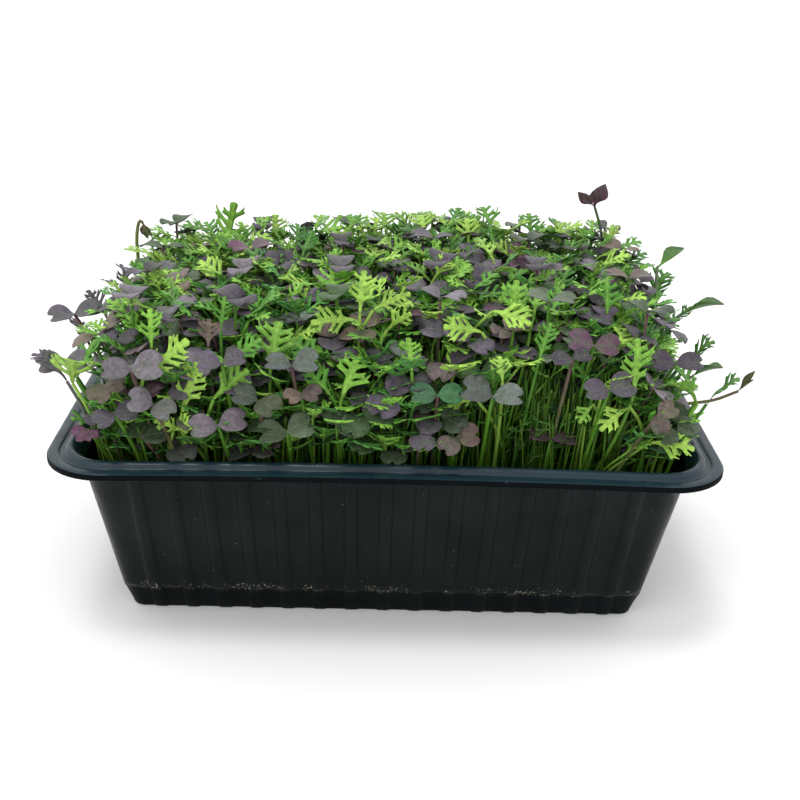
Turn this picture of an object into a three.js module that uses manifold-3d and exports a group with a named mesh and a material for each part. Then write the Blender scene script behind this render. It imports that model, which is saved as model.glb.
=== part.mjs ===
// A ribbed black plastic tray of microgreens, in millimetres, +Z up.
// The origin is the middle of the tray's underside; the long sides run along X and the front faces -Y.
//
// The tray is a thin formed shell: a stepped foot, drafted walls with upright ribs, a shoulder, a collar and
// a wide flange with a raised bead. It holds a block of growing medium. Seedlings stand in it in clumps, each
// clump on a root plug that sits in a plain hole in the medium. Two kinds grow mixed together: red mustard
// with pairs of notched seed leaves, and mizuna with deeply cut leaves. The clumps interlock in three storeys,
// so that no clump crosses another: low pairs of seed leaves stay in the cell of their clump, mizuna stalks
// rise between the cells and open above them, and one tall pair of each cell opens over the mizuna. A few
// older leaves stand out of the rest, and one long stem wanders out over the flange on the right.

import * as THREE from 'three';
import { mergeVertices } from 'three/addons/utils/BufferGeometryUtils.js';
import Module from 'manifold-3d';

// Driving dimensions of the tray.
const TRAY_LENGTH = 230;
const TRAY_DEPTH = 150;
const RIM_CORNER_RADIUS = 22;
const WALL_CORNER_RADIUS = 13;
const FOOT_CORNER_RADIUS = 6.5;
const SHEET = 1;
const RIB_PITCH = 12.1;
const RIBS_LONG_SIDE = 15;
const RIBS_SHORT_SIDE = 8;
const RIB_WIDTH = 4.4;
const RIB_HEIGHT = 1.2;
const CORNER_STEPS = 5;
const RIM_DROOP = 1.6;

// The outside of the tray as [height, inset from the flange's edge], from the underside up to the collar.
const FOOT_PROFILE = [[0, 23.4], [8.8, 21.5], [10.2, 19.8], [60, 10.9]];
// The collar, the flange and the inside of the tray, on to the inner floor.
const COLLAR_TOP = 64.1;
const RIM_PROFILE = [
  [61, 9.5], [COLLAR_TOP, 9.1], [COLLAR_TOP, 1], [62.9, 0.9], [62.9, 0], [64.7, 0], [65.1, 0.5],
  [65.1, 5.3], [66.1, 6.4], [66.4, 7.4], [65.9, 8.7], [61.9, 10.4], [60.4, 11.9],
  [10.6, 20.9], [9.2, 22.6], [3.4, 23.4], [SHEET, 25],
];

// Driving dimensions of the growing medium and the root plugs.
const GAP = 0.35;
const SOIL_TOP = 34;
const SOIL_CORNER_STEPS = 3;
const PLUG_RADIUS = 4.6;
const PLUG_DEPTH = 7;
const PLUG_SIDES = 4;
const PLUG_SUNK = 0.6;
const ROOT_SUNK = 4;
const STEM_SUNK = 0.05;

// The grid of clumps at the height of the leaves, and how far in the plugs stand of it.
const CANOPY_LENGTH = 212;
const CANOPY_DEPTH = 132;
const MUSTARD_COLUMNS = 6;
const MIZUNA_COLUMNS = MUSTARD_COLUMNS + 1;
const ROWS = 4;
const MUSTARD_SEED = 101;
const MIZUNA_SEED = 501;
const CELL_X = CANOPY_LENGTH / MUSTARD_COLUMNS;
const CELL_Y = CANOPY_DEPTH / ROWS;
const PLUG_DRAW_X = 0.14;
const PLUG_DRAW_Y = 0.06;
const CELL_MARGIN = 0.7;
const STALK_CLEARANCE = 2.6;
const STALK_NEAR = 6.5;

// The storeys of leaves.
const LOW_HEIGHTS = [71, 77];
const MIZUNA_HEIGHT = 86;
const MIZUNA_RISE = 15;
const HIGH_HEIGHT = 110.5;

// Leaves and stems.
const BLADE = 0.7;
const STEM_RADIUS = 0.75;
const STALK_WIDTH = 1.6;
const STALK_THICKNESS = 1.2;
const STALK_SPREAD = 1.9;
const STALK_SECTIONS = 3;
const STALK_SAMPLES = 24;
const LEAF_CUP = 0.03;
const PAIR_HALF_SPAN = 14.2;
const PAIR_WIDTH = 14.5;
const MIZUNA_LENGTH = 23;
const MIZUNA_REACH = 16.3;

// Half of one notched seed leaf's outline, as shares of its length and the pair's width, from stalk to notch.
const SEED_LEAF = [[0.42, 0.37], [0.8, 0.5], [1, 0.27]];
const SEED_LEAF_NOTCH = 0.83;
const PAIR_WAIST = 0.07;
// Half of a mizuna leaf's outline, as shares of its length, from stalk to tip: lobe, cut, lobe, cut, ...
const MIZUNA_LEAF = [[0, 0.035], [0.34, 0.25], [0.42, 0.075], [0.62, 0.34], [0.68, 0.1], [0.9, 0.24]];
// Half outlines of an older pointed leaf and of a wilted bud, in the same way.
const POINTED_LEAF = [[0, 0.05], [0.22, 0.2], [0.55, 0.29], [0.82, 0.15]];
const WILTED_BUD = [[0, 0.09], [0.5, 0.2]];

// Older leaves and long stems that stand out of the rest: the clump that each grows from, the points of its
// stalk above the root, the leaf's tip, how far the leaf arches, and the way it faces, in degrees.
const OUTSTANDING = [
  {
    clump: 'mizuna_clump_2_7', outline: WILTED_BUD, facing: 0, arch: 0.1,
    stalk: [[97, -15.6, 50], [101.6, -15, 61], [105.6, -14.6, 66.9], [112, -14, 68], [121, -13.6, 69.4]],
    base: [129.5, -14, 73.4], tip: [135, -14.4, 78.6],
  },
  {
    clump: 'mizuna_clump_2_7', outline: POINTED_LEAF, facing: -60, arch: 0.12,
    stalk: [[97, -19, 60], [103, -24, 76]], base: [107.6, -27.4, 84], tip: [115.6, -37, 91.5],
  },
  {
    clump: 'mizuna_clump_3_7', outline: POINTED_LEAF, facing: -40, arch: 0.14,
    stalk: [[97, 14, 60], [104, 11, 82]], base: [110, 6.5, 95.5], tip: [123.6, -1, 102.5],
  },
  {
    clump: 'mizuna_clump_3_7', outline: POINTED_LEAF, facing: 45, arch: 0.1,
    stalk: [[97, 18, 60], [105, 22, 88]], base: [107.5, 25, 104], tip: [118, 33, 115],
  },
  {
    clump: 'mizuna_clump_4_2', outline: MIZUNA_LEAF, facing: -90, arch: -0.08,
    stalk: [[-67, 48.5, 60], [-68.6, 49.4, 84]], base: [-67.4, 50, 101], tip: [-62.4, 51.6, 123],
  },
  {
    clump: 'mizuna_clump_4_1', outline: WILTED_BUD, facing: -90, arch: 0.2,
    stalk: [[-95, 48.4, 60], [-100.6, 49.6, 88], [-102, 51, 108], [-100.6, 52, 114]],
    base: [-99.2, 51, 113.4], tip: [-97.4, 49, 107],
  },
  {
    clump: 'mustard_clump_4_6', outline: POINTED_LEAF, facing: -90, arch: -0.06,
    stalk: [[84, 48.6, 60], [88.2, 49.4, 88], [87.4, 49.6, 104]], base: [84.2, 50, 118], tip: [80.6, 50.6, 134.5],
  },
];

const COLOURS = {
  tray: { color: 0x15191b, roughness: 0.42, metalness: 0 },
  soil: { color: 0x2b211a, roughness: 0.95, metalness: 0 },
  mustard: { color: 0x4c4250, roughness: 0.6, metalness: 0 },
  mizuna: { color: 0x6fae3a, roughness: 0.55, metalness: 0 },
};

const wasm = await Module();
wasm.setup();

// A seeded draw of numbers from 0 to 1.
function drawFrom(seed) {
  let state = Math.imul(seed, 2654435761) >>> 0;
  return () => {
    state = (Math.imul(state, 1664525) + 1013904223) >>> 0;
    return state / 4294967296;
  };
}

// The slow rise and fall of the leaves over the tray.
function swell(x, y) {
  return 2.2 * Math.sin(x / 34 + 0.7) + 1.4 * Math.cos(y / 26 - x / 61);
}

function solidFrom(geometry) {
  const bare = new THREE.BufferGeometry();
  bare.setAttribute('position', geometry.getAttribute('position'));
  if (geometry.index) bare.setIndex(geometry.index);
  const merged = mergeVertices(bare, 1e-4);
  return new wasm.Manifold(new wasm.Mesh({
    numProp: 3,
    vertProperties: new Float32Array(merged.attributes.position.array),
    triVerts: new Uint32Array(merged.index.array),
  }));
}

function geometryFrom(solid) {
  const mesh = solid.getMesh();
  const geometry = new THREE.BufferGeometry();
  geometry.setAttribute('position', new THREE.BufferAttribute(new Float32Array(mesh.vertProperties), 3));
  geometry.setIndex(new THREE.BufferAttribute(new Uint32Array(mesh.triVerts), 1));
  geometry.computeVertexNormals();
  return geometry;
}

function meshOf(name, geometry, look) {
  const mesh = new THREE.Mesh(geometry, new THREE.MeshStandardMaterial(COLOURS[look]));
  mesh.name = name;
  return mesh;
}

// Corner arc stations of a rounded rectangle, counterclockwise from the front right corner, as unit directions.
function roundedCorners(steps) {
  const corners = [[1, -1, -Math.PI / 2], [1, 1, 0], [-1, 1, Math.PI / 2], [-1, -1, Math.PI]];
  return corners.map(([sx, sy, start]) => {
    const arc = [];
    for (let k = 0; k <= steps; k++) {
      const angle = start + (k / steps) * (Math.PI / 2);
      arc.push([sx, sy, Math.cos(angle), Math.sin(angle)]);
    }
    return arc;
  });
}

// How far the flange hangs at a place: its long sides are arched, and the corners hang lowest.
function droopAt(x) {
  return RIM_DROOP * (x / (TRAY_LENGTH / 2)) ** 2;
}

// One ring of points round the tray. A ribbed ring has three points for each rib, on both long and short sides.
function trayRing(height, inset, cornerRadius, steps, { ribs = false, droop = 0, sidePoints = 0 } = {}) {
  const halfX = TRAY_LENGTH / 2 - inset;
  const halfY = TRAY_DEPTH / 2 - inset;
  const ring = [];
  const add = (x, y) => ring.push(new THREE.Vector3(x, y, height - droop * droopAt(x)));
  const sides = [
    { count: RIBS_SHORT_SIDE, at: (s, out) => [halfX + out, s] },
    { count: RIBS_LONG_SIDE, at: (s, out) => [-s, halfY + out] },
    { count: RIBS_SHORT_SIDE, at: (s, out) => [-halfX - out, -s] },
    { count: RIBS_LONG_SIDE, at: (s, out) => [s, -halfY - out] },
  ];
  roundedCorners(steps).forEach((arc, side) => {
    for (const [sx, sy, c, s] of arc) {
      add(sx * (halfX - cornerRadius) + cornerRadius * c, sy * (halfY - cornerRadius) + cornerRadius * s);
    }
    const { count, at } = sides[side];
    const half = (side % 2 ? halfX : halfY) - cornerRadius;
    if (ribs) {
      for (let k = 0; k < count; k++) {
        const middle = (k - (count - 1) / 2) * ribPitchAt(inset);
        add(...at(middle - RIB_WIDTH / 2, 0));
        add(...at(middle, RIB_HEIGHT));
        add(...at(middle + RIB_WIDTH / 2, 0));
      }
    }
    for (let k = 1; side % 2 && k <= sidePoints; k++) {
      add(...at(half * ((2 * k) / (sidePoints + 1) - 1), 0));
    }
  });
  return ring;
}

// Stitches rings of points into one closed shell, with a flat cap on the first and the last ring.
// Two neighbouring rings may differ in count: the shorter of the two next edges is taken each time.
function shellOf(rings) {
  const positions = [];
  const indices = [];
  const starts = rings.map((ring) => {
    const start = positions.length / 3;
    ring.forEach((p) => positions.push(p.x, p.y, p.z));
    return start;
  });
  const angle = (p) => Math.atan2(p.y, p.x);
  for (let r = 0; r + 1 < rings.length; r++) {
    const [low, high] = [rings[r], rings[r + 1]];
    const same = low.length === high.length;
    let i = 0;
    let j = 0;
    while (i < low.length || j < high.length) {
      const a = starts[r] + (i % low.length);
      const b = starts[r + 1] + (j % high.length);
      const nextLow = low[(i + 1) % low.length];
      const nextHigh = high[(j + 1) % high.length];
      const turn = Math.sin(angle(nextLow) - angle(nextHigh));
      const takeLow = same ? i <= j : j >= high.length || (i < low.length && turn <= 0);
      if (takeLow) {
        indices.push(a, starts[r] + ((i + 1) % low.length), b);
        i++;
      } else {
        indices.push(a, starts[r + 1] + ((j + 1) % high.length), b);
        j++;
      }
    }
  }
  const cap = (ring, start, up) => {
    const contour = ring.map((p) => new THREE.Vector2(p.x, p.y));
    for (const [a, b, c] of THREE.ShapeUtils.triangulateShape(contour, [])) {
      indices.push(start + a, start + (up ? b : c), start + (up ? c : b));
    }
  };
  cap(rings[0], starts[0], false);
  cap(rings[rings.length - 1], starts[rings.length - 1], true);
  const geometry = new THREE.BufferGeometry();
  geometry.setAttribute('position', new THREE.BufferAttribute(new Float32Array(positions), 3));
  geometry.setIndex(indices);
  geometry.computeVertexNormals();
  return geometry;
}

// The corner radius at an inset: widest round the flange, and tightest round the foot.
function cornerRadiusAt(inset) {
  const [collar, foot] = [10.9, FOOT_PROFILE[0][1]];
  const share = (inset - collar) / (foot - collar);
  return inset < collar ? RIM_CORNER_RADIUS - (inset / collar) * (RIM_CORNER_RADIUS - WALL_CORNER_RADIUS)
    : WALL_CORNER_RADIUS - share * (WALL_CORNER_RADIUS - FOOT_CORNER_RADIUS);
}

// The ribs draw together a little towards the foot.
function ribPitchAt(inset) {
  return RIB_PITCH - 0.025 * (inset - FOOT_PROFILE.at(-1)[1]);
}

function trayGeometry() {
  const ribbed = FOOT_PROFILE.map(([height, inset]) => (
    trayRing(height, inset, cornerRadiusAt(inset), CORNER_STEPS, { ribs: true })));
  const plain = RIM_PROFILE.map(([height, inset]) => trayRing(
    height, inset, cornerRadiusAt(inset), CORNER_STEPS, { droop: height > 60 && inset < 9 ? 1 : 0, sidePoints: 3 },
  ));
  return shellOf([...ribbed, ...plain]);
}

// A prism with its axis upright, for a root plug or its hole.
function plugGeometry(x, y, radius, bottom, top) {
  const prism = new THREE.CylinderGeometry(radius, radius, top - bottom, PLUG_SIDES);
  prism.rotateX(Math.PI / 2);
  prism.translate(x, y, (top + bottom) / 2);
  return prism;
}

// Where the plug of a clump stands: the outer clumps lean out over the tray, so their plugs are drawn in.
function plugPlace(x, y) {
  return {
    x: x * (1 - PLUG_DRAW_X * (x / (CANOPY_LENGTH / 2)) ** 2),
    y: y * (1 - PLUG_DRAW_Y * (y / (CANOPY_DEPTH / 2)) ** 2),
  };
}

// The block of growing medium: it fills the tray up to SOIL_TOP and has a plain hole for each root plug.
function soilGeometry(plugs) {
  const insides = RIM_PROFILE.slice(-4).reverse();
  const [upper, lower] = [insides[3], insides[2]];
  const insetAt = (z) => lower[1] + ((upper[1] - lower[1]) * (z - lower[0])) / (upper[0] - lower[0]);
  const slope = (RIM_PROFILE.at(-4)[1] - RIM_PROFILE.at(-5)[1]) / (RIM_PROFILE.at(-5)[0] - RIM_PROFILE.at(-4)[0]);
  const topInset = RIM_PROFILE.at(-4)[1] - slope * (SOIL_TOP - RIM_PROFILE.at(-4)[0]);
  const levels = [
    [SHEET + GAP, insides[0][1] + 1], [insides[1][0], insides[1][1] + GAP + 0.4],
    [insides[2][0] - 0.4, insetAt(insides[2][0]) + GAP + 0.4], [insides[3][0] + 0.2, insides[3][1] + GAP + 0.4],
    [SOIL_TOP, topInset + GAP + 0.4],
  ];
  const rings = levels.map(([height, inset]) => (
    trayRing(height, inset, cornerRadiusAt(inset), SOIL_CORNER_STEPS)));
  let soil = solidFrom(shellOf(rings));
  for (const { x, y } of plugs) {
    const hole = plugGeometry(x, y, PLUG_RADIUS + GAP, SOIL_TOP - PLUG_DEPTH - PLUG_SUNK - GAP, SOIL_TOP + 1);
    soil = soil.subtract(solidFrom(hole));
  }
  return geometryFrom(soil);
}

// The outline of a pair of notched seed leaves, joined at the stem.
function pairOutline(halfSpan, width) {
  const side = (sign) => {
    const edge = SEED_LEAF.map(([u, v]) => [u * halfSpan, v * width * sign]);
    return sign > 0 ? edge.reverse() : edge;
  };
  const right = [...side(-1), [SEED_LEAF_NOTCH * halfSpan, 0], ...side(1)];
  const left = right.map(([u, v]) => [-u, -v]);
  const waist = PAIR_WAIST * width;
  return [[0, -waist], ...right, [0, waist], ...left];
}

// A thin blade of a flat outline, lifted by a formula of its place in the outline.
function bladeGeometry(shape, liftAt) {
  const blade = new THREE.ExtrudeGeometry(shape, { depth: BLADE, bevelEnabled: false, curveSegments: 1 });
  const place = blade.getAttribute('position');
  for (let k = 0; k < place.count; k++) {
    place.setZ(k, place.getZ(k) - BLADE / 2 + liftAt(place.getX(k), place.getY(k)));
  }
  return blade;
}

// A three-sided stem along a smooth bend.
function stemGeometry(from, bend, to, radius = STEM_RADIUS) {
  const section = new THREE.Shape([0, 1, 2].map((k) => (
    new THREE.Vector2(radius * Math.cos((k * 2 * Math.PI) / 3), radius * Math.sin((k * 2 * Math.PI) / 3)))));
  return new THREE.ExtrudeGeometry(section, {
    steps: 2, bevelEnabled: false, extrudePath: new THREE.QuadraticBezierCurve3(from, bend, to),
  });
}

// Places a blade: turned about the upright, then tilted about a level axis.
function placed(blade, at, turn, tilt, tiltTurn) {
  blade.rotateZ(turn);
  const axis = new THREE.Vector3(-Math.sin(tiltTurn), Math.cos(tiltTurn), 0);
  blade.applyMatrix4(new THREE.Matrix4().makeRotationAxis(axis, tilt));
  blade.translate(at.x, at.y, at.z);
  return blade;
}

// A pair of seed leaves on its stem. The leaves rise from the stem and their tips hang a little.
function mustardSeedling(plug, at, { turn, scale, tilt, tiltTurn, fold }) {
  const halfSpan = PAIR_HALF_SPAN * scale;
  const lift = (u, v) => fold * Math.abs(u) - (fold * 0.75 * u * u) / halfSpan + 0.012 * v * v;
  const outline = pairOutline(halfSpan, PAIR_WIDTH * scale).map(([u, v]) => new THREE.Vector2(u, v));
  const pair = bladeGeometry(new THREE.Shape(outline), lift);
  const root = new THREE.Vector3(
    plug.x + (at.x - plug.x) * 0.06, plug.y + (at.y - plug.y) * 0.06, SOIL_TOP - PLUG_SUNK - ROOT_SUNK,
  );
  const bend = new THREE.Vector3(
    plug.x + (at.x - plug.x) * 0.85, plug.y + (at.y - plug.y) * 0.85, root.z + (at.z - root.z) * 0.55,
  );
  const tip = new THREE.Vector3(at.x, at.y, at.z - STEM_SUNK);
  return [stemGeometry(root, bend, tip), placed(pair, at, turn, tilt, tiltTurn)];
}

// The whole outline of a leaf along +X, from half of it.
function leafOutline(half, length) {
  const side = half.map(([u, v]) => new THREE.Vector2(u * length, v * length));
  const near = side.map(({ x, y }) => new THREE.Vector2(x, -y));
  return [...near, new THREE.Vector2(length, 0), ...side.reverse()];
}

// A leaf on its flat stalk, as one closed body. The stalk is a strip along a curve, and the leaf's outline
// follows a second curve that starts where the first one ends. The leaf is split alike on both faces.
function stalkedLeaf({ stalk, sections, leaf, facing, half, length }) {
  const across = new THREE.Vector3(-Math.sin(facing), Math.cos(facing), 0);
  const positions = [];
  const indices = [];
  const addPoint = (curve, share, v, lift) => {
    const tangent = curve.getTangent(share);
    const normal = tangent.clone().cross(across).normalize();
    const point = curve.getPoint(share).addScaledVector(across, v).addScaledVector(normal, lift);
    positions.push(point.x, point.y, point.z);
    return positions.length / 3 - 1;
  };
  const [w, h] = [STALK_WIDTH / 2, STALK_THICKNESS / 2];
  const rings = Array.from({ length: sections }, (_, k) => (
    [[-w, -h], [w, -h], [w, h], [-w, h]].map(([v, lift]) => addPoint(stalk, k / sections, v, lift))));
  const outline = leafOutline(half, length);
  const [bottom, top] = [-1, 1].map((sign) => outline.map(({ x, y }) => (
    addPoint(leaf, x / length, y, LEAF_CUP * y * y + (sign * BLADE) / 2))));
  rings.push([bottom[0], bottom.at(-1), top.at(-1), top[0]]);
  indices.push(rings[0][0], rings[0][3], rings[0][2], rings[0][0], rings[0][2], rings[0][1]);
  for (let r = 0; r < sections; r++) {
    for (let k = 0; k < 4; k++) {
      const [a, b] = [rings[r][k], rings[r][(k + 1) % 4]];
      const [c, d] = [rings[r + 1][(k + 1) % 4], rings[r + 1][k]];
      indices.push(a, b, c, a, c, d);
    }
  }
  for (const [a, b, c] of THREE.ShapeUtils.triangulateShape(outline, [])) {
    indices.push(top[a], top[b], top[c], bottom[a], bottom[c], bottom[b]);
  }
  for (let k = 0; k + 1 < outline.length; k++) {
    indices.push(bottom[k], bottom[k + 1], top[k + 1], bottom[k], top[k + 1], top[k]);
  }
  const geometry = new THREE.BufferGeometry();
  geometry.setAttribute('position', new THREE.BufferAttribute(new Float32Array(positions), 3));
  geometry.setIndex(indices);
  return geometry;
}

// An arched curve from a leaf's base to its tip.
function archedCurve(base, tip, arch) {
  const shoulder = new THREE.Vector3().lerpVectors(base, tip, 0.5);
  shoulder.z += arch * base.distanceTo(tip);
  return new THREE.QuadraticBezierCurve3(base, shoulder, tip);
}

// A mizuna seedling: its stalk stands up off the root plug, then opens into a cut leaf that arches out.
function mizunaSeedling(plug, top, { turn, length, rise, arch }) {
  const [c, s] = [Math.cos(turn), Math.sin(turn)];
  const root = new THREE.Vector3(
    plug.x + STALK_SPREAD * c, plug.y + STALK_SPREAD * s, SOIL_TOP - PLUG_SUNK - ROOT_SUNK,
  );
  const base = new THREE.Vector3(top.x + STALK_SPREAD * c, top.y + STALK_SPREAD * s, top.z);
  const reach = Math.sqrt(length ** 2 - rise ** 2);
  const tip = new THREE.Vector3(base.x + reach * c, base.y + reach * s, base.z + rise);
  const bend = new THREE.Vector3().lerpVectors(root, base, 0.2);
  bend.z = root.z + (base.z - root.z) * 0.6;
  return {
    stalk: new THREE.QuadraticBezierCurve3(root, bend, base), sections: STALK_SECTIONS,
    leaf: archedCurve(base, tip, arch), facing: turn, half: MIZUNA_LEAF, length,
  };
}

// A leaf or stem that stands out of the rest, on a stalk through the points given for it.
function outstandingSeedling(plug, { outline, facing, arch, stalk, base, tip }) {
  const root = new THREE.Vector3(plug.x, plug.y, SOIL_TOP - PLUG_SUNK - ROOT_SUNK);
  const [from, to] = [new THREE.Vector3(...base), new THREE.Vector3(...tip)];
  const points = [root, ...stalk.map((point) => new THREE.Vector3(...point)), from];
  return {
    stalk: new THREE.CatmullRomCurve3(points), sections: points.length,
    leaf: archedCurve(from, to, arch), facing: THREE.MathUtils.degToRad(facing), half: outline,
    length: from.distanceTo(to),
  };
}

// Fuses a clump's stems and leaves to its root plug.
function clumpGeometry(plug, pieces) {
  const top = SOIL_TOP - PLUG_SUNK;
  let solid = solidFrom(plugGeometry(plug.x, plug.y, PLUG_RADIUS, top - PLUG_DEPTH, top));
  for (const piece of pieces) solid = solid.add(solidFrom(piece));
  return geometryFrom(solid);
}

// Points along the stalks that the low pairs keep clear of.
function stalkPoints(seedlings) {
  return seedlings.flatMap(({ stalk }) => stalk.getPoints(STALK_SAMPLES));
}

// Whether a pair at a place stays in its cell and clear of the stalks.
function pairFits(cell, at, turn, scale, stalks) {
  const [c, s] = [Math.cos(turn), Math.sin(turn)];
  const edge = pairOutline(PAIR_HALF_SPAN * scale, PAIR_WIDTH * scale);
  const halfway = edge.map(([u, v], k) => {
    const [nextU, nextV] = edge[(k + 1) % edge.length];
    return [(u + nextU) / 2, (v + nextV) / 2];
  });
  const inner = [...edge, ...halfway].map(([u, v]) => [u / 2, v / 2]);
  const near = stalks.filter((point) => Math.abs(point.z - at.z) < STALK_NEAR);
  return [...edge, ...halfway, ...inner].every(([u, v]) => {
    const x = at.x + u * c - v * s;
    const y = at.y + u * s + v * c;
    return Math.abs(x - cell.x) < CELL_X / 2 - CELL_MARGIN && Math.abs(y - cell.y) < CELL_Y / 2 - CELL_MARGIN
      && near.every((point) => Math.hypot(point.x - x, point.y - y) > STALK_CLEARANCE);
  });
}

// The low pairs of a cell: drawn again until they fit, each time a little smaller.
function lowPairs(cell, draw, stalks) {
  return LOW_HEIGHTS.map((height, k) => {
    let scale = 0.98;
    for (let attempt = 0; attempt < 80; attempt++) {
      const at = new THREE.Vector3(
        cell.x + (draw() - 0.5) * 8, cell.y + (k ? 1 : -1) * (5.5 + draw() * 3), 0,
      );
      const turn = (draw() - 0.5) * 1.1;
      at.z = height + swell(at.x, at.y);
      if (pairFits(cell, at, turn, scale, stalks)) {
        const outward = Math.atan2(at.y, at.x);
        return { at, turn, scale, tilt: 0.1 + draw() * 0.08, tiltTurn: outward, fold: 0.16 + draw() * 0.1 };
      }
      scale *= 0.985;
    }
    throw new Error('a low pair found no room in its cell');
  });
}

// The tall pair of a cell, over the corner where four mizuna clumps meet.
function highPair(cell, draw) {
  const at = new THREE.Vector3(cell.x + (draw() - 0.5) * 2, cell.y + CELL_Y / 2 - 1.2, 0);
  at.z = HIGH_HEIGHT + swell(at.x, at.y) + draw() * 2;
  return {
    at, turn: draw() * Math.PI, scale: 0.92 + draw() * 0.16, tilt: (draw() - 0.5) * 0.2, tiltTurn: draw() * 6,
    fold: 0.2 + draw() * 0.15,
  };
}

// The mizuna leaves of a clump, spread round it in turn.
function mizunaLeaves(draw, leaves) {
  const first = draw() * 2 * Math.PI;
  return Array.from({ length: leaves }, (_, k) => {
    const turn = first + ((k + (draw() - 0.5) * 0.35) * 2 * Math.PI) / leaves;
    const rise = MIZUNA_RISE * (0.72 + draw() * 0.28);
    const reach = Math.min(MIZUNA_REACH, MIZUNA_REACH * (0.86 + draw() * 0.14)) - 1.3;
    const length = Math.min(MIZUNA_LENGTH, Math.hypot(reach, rise));
    return { turn, length, rise, arch: 0.12 + draw() * 0.16 };
  });
}

const microgreens = new THREE.Group();
microgreens.add(meshOf('tray', trayGeometry(), 'tray'));

// The place of a cell or column in the grid of clumps.
function gridPlace(row, column, columns) {
  return { x: (column - (columns - 1) / 2) * CELL_X, y: (row - (ROWS - 1) / 2) * CELL_Y };
}

function gridOf(kind, columns) {
  return Array.from({ length: ROWS * columns }, (_, k) => {
    const [row, column] = [Math.floor(k / columns), k % columns];
    const place = gridPlace(row, column, columns);
    return { name: `${kind}_clump_${row + 1}_${column + 1}`, k, row, column, place, plug: plugPlace(place.x, place.y) };
  });
}

const mizunaClumps = gridOf('mizuna', MIZUNA_COLUMNS).map((clump) => {
  const draw = drawFrom(MIZUNA_SEED + clump.k);
  const { x, y } = clump.place;
  const top = { x, y, z: MIZUNA_HEIGHT + swell(x, y) };
  const leaves = mizunaLeaves(draw, (clump.row + clump.column) % 3 ? 2 : 3);
  return { ...clump, stalked: leaves.map((leaf) => mizunaSeedling(clump.plug, top, leaf)) };
});
const mustardClumps = gridOf('mustard', MUSTARD_COLUMNS).map((clump) => ({ ...clump, stalked: [] }));
for (const leaf of OUTSTANDING) {
  const clump = [...mizunaClumps, ...mustardClumps].find(({ name }) => name === leaf.clump);
  clump.stalked.push(outstandingSeedling(clump.plug, leaf));
}
const stalks = stalkPoints(mizunaClumps.flatMap(({ stalked }) => stalked));

const plugs = [];
const clumps = [];
for (const { name, k, place, plug, stalked } of mustardClumps) {
  const draw = drawFrom(MUSTARD_SEED + k);
  const seedlings = [...lowPairs(place, draw, stalks), highPair(place, draw)];
  const pieces = seedlings.flatMap((seedling) => mustardSeedling(plug, seedling.at, seedling));
  plugs.push(plug);
  clumps.push(meshOf(name, clumpGeometry(plug, [...pieces, ...stalked.map(stalkedLeaf)]), 'mustard'));
}
for (const { name, plug, stalked } of mizunaClumps) {
  plugs.push(plug);
  clumps.push(meshOf(name, clumpGeometry(plug, stalked.map(stalkedLeaf)), 'mizuna'));
}
microgreens.add(meshOf('growing_medium', soilGeometry(plugs), 'soil'));
microgreens.add(...clumps);

export default microgreens;
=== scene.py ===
"""Dresses a ribbed black tray of microgreens: the formed tray, the growing medium and the mixed seedlings.

Every length is written in millimetres and turned to metres when a mesh is made. The clumps follow the same
seeded rule as the frame's clumps, so each finer piece keeps the form of the node that it stands for, and
further seedlings fill the stand round them.
"""

import logging
import math
from collections.abc import Callable
from dataclasses import dataclass, field
from enum import Enum, IntEnum

import bmesh
import bpy
import numpy as np
from mathutils import Matrix, Vector, noise


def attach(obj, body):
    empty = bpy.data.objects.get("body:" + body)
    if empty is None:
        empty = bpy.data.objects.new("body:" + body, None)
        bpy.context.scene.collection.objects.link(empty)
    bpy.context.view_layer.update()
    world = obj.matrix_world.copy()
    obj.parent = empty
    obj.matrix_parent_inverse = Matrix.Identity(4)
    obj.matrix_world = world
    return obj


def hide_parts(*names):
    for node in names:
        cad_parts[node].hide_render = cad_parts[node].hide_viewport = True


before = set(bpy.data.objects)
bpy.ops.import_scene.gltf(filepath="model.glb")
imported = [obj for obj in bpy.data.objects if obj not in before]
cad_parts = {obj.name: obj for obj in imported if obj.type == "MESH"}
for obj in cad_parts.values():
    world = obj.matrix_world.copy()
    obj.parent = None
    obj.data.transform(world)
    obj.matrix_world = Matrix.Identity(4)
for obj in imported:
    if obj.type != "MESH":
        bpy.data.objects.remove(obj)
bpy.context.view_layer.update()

log = logging.getLogger("microgreens")

MM = 0.001
BODY = "root"

# The tray, in the frame's own sizes.
TRAY_LENGTH = 230.0
TRAY_DEPTH = 150.0
RIM_CORNER_RADIUS = 22.0
WALL_CORNER_RADIUS = 13.0
FOOT_CORNER_RADIUS = 6.5
COLLAR_INSET = 10.9
FOOT_INSET = 23.4
RIB_PITCH = 12.1
RIB_PITCH_TAPER = 0.025
RIBS_LONG_SIDE = 15
RIBS_SHORT_SIDE = 8
RIB_WIDTH = 5.6
RIB_HEIGHT = 1.15
RIM_DROOP = 1.6

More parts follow.
